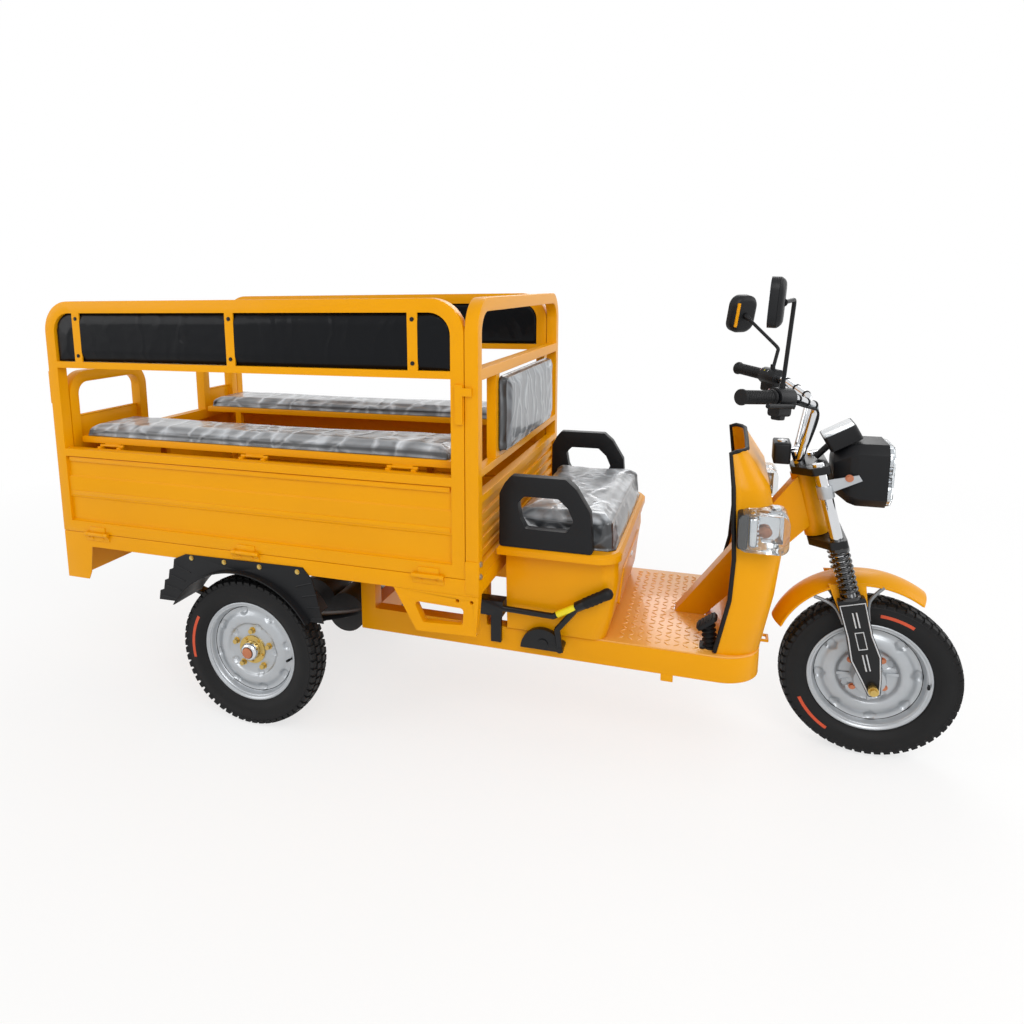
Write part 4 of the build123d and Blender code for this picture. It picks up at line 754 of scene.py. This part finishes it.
for side, s in sides:
    end, turn, inner, riser = (Vector(barLook[key]) * Vector((1, s, 1))
                               for key in ("end", "turn", "inner", "riser"))
    run = (turn - end).normalized()
    spot = facing(end, run)
    addSpun(grips, barGrip, spot, 40, closed=True)
    middle = facing(end + run * barLook["switchAt"] + Vector((0, 0, -24)), run)
    addPlate(boxes, middle, *barLook["switch"], -25, 26, 4, 3)
    addPlate(boxes, middle, barLook["switch"][0] - 8, barLook["switch"][1] + 20, 5, -14, 8, 3, 3)
    for (coat, bm), along in zip(buttons.items(), (-15, 0, 15)):
        place, rider = end + run * (barLook["switchAt"] + along), Vector((-0.75, 0, 0.66))
        addRod(bm, place + rider * 24, place + rider * 30.5, 5.2, 4.6, 16, 0.8)
    below = Vector((4, 0, -14.5))
    path = [end + run * barLook["cableFrom"] + below, turn + below, (turn + inner) / 2 + below,
            inner + Vector((12, 0, -9)), (inner + riser) / 2 + Vector((14, 0, 0)),
            riser + Vector((14, 0, 30))]
    addTube(cables, path, barLook["cable"], soft=True)
    for share in barLook["ties"]:
        addSpun(ties, ((11.4, -2.2), (13.2, -2.2), (13.2, 2.2), (11.4, 2.2)),
                facing(turn.lerp(inner, share), inner - turn), 24, closed=True)
makePiece("grip_sleeves", grips, "rubber", "steering", "grips")
makePiece("switch_housings", boxes, "plastic", "steering")
makePiece("bar_wiring", cables, "rubber", "steering")
makePiece("bar_ties", ties, "plastic", "steering")
for (coat, bm), slotName in zip(buttons.items(), ("red_lens", "pale_lens", "pale_lens")):
    makePiece(f"switch_buttons_{coat}", bm, coat, "steering")

# mirrors; rows hold: side, foot, bend, head, way that the glass faces
mirrorRows = (("right", (863.6, -252.8, 1132.7), (877.5, -282, 1362), (823.5, -372, 1358), (-1, 0.10, 0.05)),
              ("left", (863.6, 252.8, 1132.7), (877.5, 258, 1196), (759.5, 372, 1304), (-0.55, 0.75, 0.2)))
mirrorLook = {"size": (92, 126, 34), "deep": 26, "rim": 8, "glass": (82, 116, 30), "stem": 5.5}
shells, glass, bands = bmesh.new(), bmesh.new(), bmesh.new()
for side, foot, bend, head, way in mirrorRows:
    spot = facing(head, way)
    addPlate(shells, spot, *mirrorLook["size"], mirrorLook["rim"], -mirrorLook["deep"] / 2, 2, 2)
    addPlate(shells, spot, *mirrorLook["size"], -mirrorLook["deep"] / 2, -mirrorLook["deep"], 9, 5, 0.86)
    addPlate(glass, spot, *mirrorLook["glass"], mirrorLook["rim"] - 1, mirrorLook["rim"] + 0.8, 0.4)
    foot, bend, head = Vector(foot), Vector(bend), Vector(head)
    back = head - Vector(way).normalized() * (mirrorLook["deep"] - 4)
    near = bend.lerp(foot, 0.16)
    addTube(shells, [foot - Vector((0, 0, 6)), near, bend, bend.lerp(back, 0.2), back], mirrorLook["stem"],
            soft=True, detail=4)
    addRod(shells, foot - Vector((0, 0, 8)), foot + Vector((0, 0, 12)), 9, 8, 6)
    addRod(shells, back.lerp(bend, 0.02), back.lerp(bend, 0.16), 11, 7, 20, 1.5)
    if side == "left":
        addPlate(bands, spot @ Matrix.Translation((0.031, 0, 0)), 11, 82, 4, -mirrorLook["deep"] - 0.8,
                 -mirrorLook["deep"] + 3, 0.4)
makePiece("mirror_band", bands, "yellow", "steering")
makePiece("mirror_shells", shells, "plastic", "steering", "mirrors")
makePiece("mirror_glass", glass, "mirror", "steering")

# speedometer window under its film, and the key barrel
dialLook = {"middle": (1037.5, 0, 976), "lean": (-0.5, 0, 0.866), "size": (122, 86, 16), "depth": (9.5, 13.4)}
keyLook = {"middle": (888, -20, 942.8),
           "barrel": ((0, 5), (6, 5), (6.5, 6.5), (12, 6.5), (13.5, 5), (13.5, -1))}
bm = bmesh.new()
addPlate(bm, facing(dialLook["middle"], dialLook["lean"]), *dialLook["size"], *dialLook["depth"], 1.4)
makePiece("dial_film", bm, "pale", "steering")
bm = bmesh.new()
addSpun(bm, keyLook["barrel"], facing(keyLook["middle"], (0, 0, 1)), 32)
makePiece("key_barrel", bm, "chrome", "steering")
print("handlebar made")

# brake pedal: foot plate, folded rubber boot, ribbed pad
low, high = (Vector(corner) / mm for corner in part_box("brake_pedal"))
pedalLook = {"plate": (60, 52, 8), "pad": (56, 64, 14), "folds": 5, "ribs": 5,
             "fold": ((14, 0.08), (21, 0.45), (21, 0.6), (14, 0.95))}
bm = bmesh.new()
footSpot = facing(((low.x + high.x) / 2 + 6, (low.y + high.y) / 2, low.z), (0, 0, 1))
addPlate(bm, footSpot, *pedalLook["plate"], 0, 5, 1.5)
top = Vector(((low.x + high.x) / 2 - 4, (low.y + high.y) / 2, high.z - 16))
lean = top - footSpot.translation / mm
fold = lean.length / pedalLook["folds"]
rows = [(8, 0)] + [(radius, fold * (i + share)) for i in range(pedalLook["folds"])
                   for radius, share in pedalLook["fold"]]
addSpun(bm, rows + [(8, lean.length)], facing(footSpot.translation / mm, lean), 32, closed=True)
padSpot = facing(top, (-0.62, 0, 0.78))
addPlate(bm, padSpot, *pedalLook["pad"], 0, 11, 3)
for i in range(pedalLook["ribs"]):
    y = (i + 0.5 - pedalLook["ribs"] / 2) * 10.5
    addBlock(bm, (-22, y - 2.4, 10), (22, y + 2.4, 13.4), 1.0, padSpot)
makePiece("pedal_boot", bm, "rubber", "chassis", "brake_pedal")

# hand brake: bright band on the crank and a ribbed grip
leverLook = {"band": ((295, -365, 459), (348, -365, 488), 10.0), "tip": (441, -365, 542),
             "way": (0.863, 0, 0.504),
             "grip": ((0, 13), (9, 11), (15.5, 5), (17.5, -4), (16.5, -14), (15.2, -24), (17, -30),
                      (15.4, -36), (17, -44), (15.4, -50), (17, -58), (15.4, -64), (16.5, -74), (15, -78),
                      (8, -78))}
bm = bmesh.new()
addRod(bm, *leverLook["band"], bevel=1)
makePiece("lever_band", bm, "stripe", "chassis")
bm = bmesh.new()
addSpun(bm, leverLook["grip"], facing(leverLook["tip"], leverLook["way"]), 32)
makePiece("lever_grip", bm, "rubber", "chassis")

# raised lugs of the chequer plate, on a staggered grid over the foot space
lugLook = {"pitch": 26.0, "size": (11.5, 4.2, 2.0), "from": 470, "to": 722, "half": 296}
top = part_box("floor_plate")[1][2] / mm
lugCount = int(lugLook["half"] / lugLook["pitch"])
bm = bmesh.new()
for i in range(int((lugLook["to"] - lugLook["from"]) / lugLook["pitch"]) + 1):
    for j in range(-lugCount, lugCount + 1):
        place = Vector((lugLook["from"] + i * lugLook["pitch"], j * lugLook["pitch"], top)) * mm
        turn = Matrix.Rotation(radians(45 if (i + j) % 2 else -45), 4, "Z")
        size = Matrix.Diagonal((*(Vector(lugLook["size"]) * mm), 1))
        bmesh.ops.create_uvsphere(bm, u_segments=10, v_segments=6, radius=1.0,
                                  matrix=Matrix.Translation(place) @ turn @ size)
makePiece("floor_lugs", bm, "floor", "chassis")
print("foot space made")

# seat box: raised door on the front face, with its lock
doorLook = {"middle": (456.5, 0, 506), "lean": (1, 0, -0.095), "size": (430, 118, 18), "rise": 3.0,
            "lock": ((0, 3), (8, 3), (11, 1.5), (12, -1), (12, -6)), "lockAt": (0, 36, 3)}
doorSpot = facing(doorLook["middle"], doorLook["lean"])
bm = bmesh.new()
addPlate(bm, doorSpot, *doorLook["size"], -4, doorLook["rise"], 1.6, 2)
makePiece("seat_box_door", bm, "yellow", "chassis")
bm = bmesh.new()
addSpun(bm, doorLook["lock"], doorSpot @ Matrix.Translation(Vector(doorLook["lockAt"]) * mm), 32)
makePiece("seat_box_lock", bm, "chrome", "chassis")

# fasteners; rows hold: body, finish, head radius, head height, way the head faces, places
strapX = (-1258.5, -669.5, -80.5)
gateHingeX = (-1242.5, -652.5, -42.5)
fenderX = (-860, -735, -605, -470)
for side, s in sides:
    gate = f"side_gate_{side}"
    fastenerRows = (
        (gate, "blackPaint", 4.5, 3.0, (0, s, 0), [(x, s * 528.2, z) for x in strapX for z in (1202, 1322)]),
        ("chassis", "gold", 6.0, 5.0, (0, s, 0), [(x, s * 532, 557) for x in fenderX]),
        ("chassis", "yellow", 4.0, 2.4, (0, s, 0),
         [(x + dx, s * 530.6, 581) for x in gateHingeX for dx in (-22, 22)]),
        ("chassis", "zinc", 6.5, 5.0, (1, 0, 0), [(106.6, s * 509, z) for z in (604, 640)]),
    )
    for number, (body, coat, radius, height, way, places) in enumerate(fastenerRows):
        bm = bmesh.new()
        for place in places:
            addBolt(bm, place, way, radius, height)
        makePiece(f"fasteners_{side}_{number}", bm, coat, body)
bumperLook = {"x": -1391.6, "across": (-452, -358, 358, 452), "z": 540, "head": (5, 4)}
bm = bmesh.new()
for across in bumperLook["across"]:
    addBolt(bm, (bumperLook["x"], across, bumperLook["z"]), (-1, 0, 0), *bumperLook["head"])
makePiece("bumper_bolts", bm, "zinc", "chassis")

# ribs moulded on the flaps of the rear fenders; rows hold start and end: offset from the wheel, height
flapLook = {"out": 531.4, "wire": 2.6,
            "rows": ((-308, 414, -246, 408), (-288, 452, -232, 440), (-266, 490, -214, 474),
                     (-244, 526, -190, 506), (248, 410, 290, 416), (238, 444, 282, 452), (222, 478, 272, 490),
                     (200, 508, 256, 526))}
bm = bmesh.new()
for side, s in sides:
    hub = jointPoint(f"rear_wheel_{side}")
    out = s * flapLook["out"]
    for startX, startZ, endX, endZ in flapLook["rows"]:
        addTube(bm, [(hub.x + startX, out, startZ), (hub.x + endX, out, endZ)], flapLook["wire"])
makePiece("fender_ribs", bm, "plastic", "chassis")
nutLook = {"across": 118.8, "head": (10.5, 10)}    # on the ends of the front axle
bm = bmesh.new()
for side, s in sides:
    addBolt(bm, forkPoint(0, s * nutLook["across"], 0), (0, s, 0), *nutLook["head"])
makePiece("axle_nuts", bm, "gold", "steering")

# pressed ribs of the bed floor
ribLook = {"middle": -655, "long": 1430, "wide": 26, "corner": 9, "low": 587.5, "deep": 7, "pitch": 105,
           "each": 4}
bm = bmesh.new()
for i in range(-ribLook["each"], ribLook["each"] + 1):
    spot = Matrix.Translation(Vector((ribLook["middle"], i * ribLook["pitch"], ribLook["low"])) * mm)
    addPlate(bm, spot, ribLook["long"], ribLook["wide"], ribLook["corner"], 0, ribLook["deep"], 2.5, 3)
makePiece("bed_floor_ribs", bm, "yellow", "chassis")

# corner plates on the front posts
postPlate = {"middle": (87.5, 528, 604), "size": (40, 96, 4), "depth": (-1, 2.2)}
bm = bmesh.new()
for side, s in sides:
    x, y, z = postPlate["middle"]
    addPlate(bm, facing((x, s * y, z), (0, s, 0)), *postPlate["size"], *postPlate["depth"], 0.8)
makePiece("post_plates", bm, "yellow", "chassis")
print("fasteners made")

# gate pressings: overhanging folds of the panel; rows hold: height, rise above it
gateFolds = {"x": (-1346, 22), "rows": ((852, 7), (735, 7)), "out": (515, 523), "deep": 9}
for side, s in sides:
    bm = bmesh.new()
    for z, rise in gateFolds["rows"]:
        addSideBlock(bm, s, (gateFolds["x"][0], gateFolds["out"][0], z - gateFolds["deep"]),
                     (gateFolds["x"][1], gateFolds["out"][1], z + rise), 2.4)
    makePiece(f"gate_folds_{side}", bm, "yellow", f"side_gate_{side}")

# sheet panels that close the foot of the tailgate's hoops; rows hold: from, to across
hoopLook = {"rows": ((-466, -129), (264, 466)), "low": 898, "high": 985, "plane": (-1378, -1372)}
bm = bmesh.new()
for start, end in hoopLook["rows"]:
    addBlock(bm, (hoopLook["plane"][0], start, hoopLook["low"]),
             (hoopLook["plane"][1], end, hoopLook["high"]), 1.5)
    addTube(bm, [(hoopLook["plane"][0] + 3, y, hoopLook["high"]) for y in (start, end)], 4.5)
makePiece("tailgate_hoop_panels", bm, "yellow", "tailgate")

tabLook = {"low": (588, -320, 280), "high": (622, -312, 302), "edge": 1.5}    # under the floor frame
bm = bmesh.new()
addBlock(bm, tabLook["low"], tabLook["high"], tabLook["edge"])
makePiece("frame_tab", bm, "yellow", "chassis")
print("bed trim made")


# padded pieces start from the solids, are remeshed, blown up as cloth and creased under their film.
# rest is the side they lie on, held the lean towards it under which a point may move, swell its cap
padLooks = {
    "seat_cushion": {"held": 2, "name": "seat_pad", "coat": "seatFilm", "body": "seat_lid", "voxel": 7,
                     "inset": 7, "swell": 14, "rest": (0, 0, -1), "crease": 1.6, "stretch": (1, 0.35, 1),
                     "fold": 150, "fill": 0.8},
    "driver_backrest": {"held": 2, "name": "back_pad", "coat": "backFilm", "body": "chassis", "voxel": 6,
                        "inset": 3, "swell": 8, "rest": (-1, 0, 0), "crease": 1.2, "stretch": (1, 0.5, 1),
                        "fold": 120, "fill": 0.7},
    "bench_cushion_right": {"held": 2, "name": "bench_pad_right", "coat": "seatFilm", "body": "bench_right",
                            "voxel": 7.5, "inset": 3, "swell": 8, "rest": (0, 0, -1), "crease": 1.5,
                            "stretch": (0.4, 1, 1), "fold": 120, "fill": 0.7,
                            "mirrored": ("bench_cushion_left", "bench_pad_left", "bench_left")},
    "side_pads_right": {"held": -0.5, "name": "gate_pads_right", "coat": "padFilm", "body": "side_gate_right",
                        "voxel": 7, "inset": 1, "swell": 6, "rest": (0, 1, 0), "crease": 1.2,
                        "stretch": (0.6, 1, 1), "fold": 130, "fill": 0.6,
                        "mirrored": ("side_pads_left", "gate_pads_left", "side_gate_left")},
}


def blowUp(piece):
    cloth = piece.modifiers.new("cloth", "CLOTH")
    cloth.settings.use_pressure = True
    cloth.settings.uniform_pressure_force = 4
    cloth.settings.effector_weights.gravity = 0
    cloth.settings.vertex_group_mass = "resting"
    cloth.point_cache.frame_end = 20
    for number in range(1, 21):
        bpy.context.scene.frame_set(number)
    shaped = piece.evaluated_get(bpy.context.evaluated_depsgraph_get())
    moves = [after.co - before.co for after, before in zip(shaped.data.vertices, piece.data.vertices)]
    piece.modifiers.remove(cloth)
    bpy.context.scene.frame_set(1)
    return moves


def addPad(node, look):
    rest = Vector(look["rest"])
    ground = max(Vector(corner).dot(rest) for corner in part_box(node))
    bm = bmesh.new()
    bm.from_mesh(frame["nodes"][node].data)
    bmesh.ops.remove_doubles(bm, verts=bm.verts, dist=weldGap)
    mesh = bpy.data.meshes.new("padStart")
    bm.to_mesh(mesh)
    bm.free()
    start = bpy.data.objects.new("padStart", mesh)
    bpy.context.scene.collection.objects.link(start)
    remesh = start.modifiers.new("remesh", "REMESH")
    remesh.mode = "VOXEL"
    remesh.voxel_size = look["voxel"] * mm
    fine = bpy.data.meshes.new_from_object(start.evaluated_get(bpy.context.evaluated_depsgraph_get()))
    start.modifiers.remove(remesh)
    start.data = fine
    free = [ground - vert.co.dot(rest) > 2.5 * mm and vert.normal.dot(rest) < look["held"]
            for vert in fine.vertices]
    start.vertex_groups.new(name="resting").add([i for i, loose in enumerate(free) if not loose], 1.0,
                                                "REPLACE")
    cap = look["swell"] * mm
    inward = [vert.normal * (look["inset"] * mm) for vert in fine.vertices]
    for vert, step, loose in zip(fine.vertices, inward, free):
        if loose:
            vert.co -= step
    fine.update()
    moves = blowUp(start)
    for vert, move, loose in zip(fine.vertices, moves, free):
        if loose:
            vert.co += move * min(1.0, cap / max(move.length, 1e-9))
    fine.update()
    folds = []
    for vert in fine.vertices:
        spot = Vector([value * share for value, share in zip(vert.co, look["stretch"])])
        crease = noise.turbulence(spot * perSize(look["fold"]), 3, True) - 0.7
        folds.append(vert.normal * (crease * look["crease"] * mm))
    for vert, fold, loose in zip(fine.vertices, folds, free):
        if loose:
            vert.co += fold
    made = []
    for part, name, body, flip in ((node, look["name"], look["body"], 1),
                                   (*look.get("mirrored", ("", "", "")), -1)):
        if not part:
            continue
        bm = bmesh.new()
        bm.from_mesh(fine)
        bmesh.ops.scale(bm, vec=(1, flip, 1), verts=bm.verts)
        piece = makePiece(name, bm, look["coat"], body, part, 180)
        rounder = piece.modifiers.new("rounder", "SUBSURF")
        rounder.levels = rounder.render_levels = 1
        made.append(piece)
    bpy.data.objects.remove(start)
    print("padded:", ", ".join(piece.name for piece in made), len(fine.vertices), "points")


for node, look in padLooks.items():
    addPad(node, look)

bpy.context.view_layer.update()
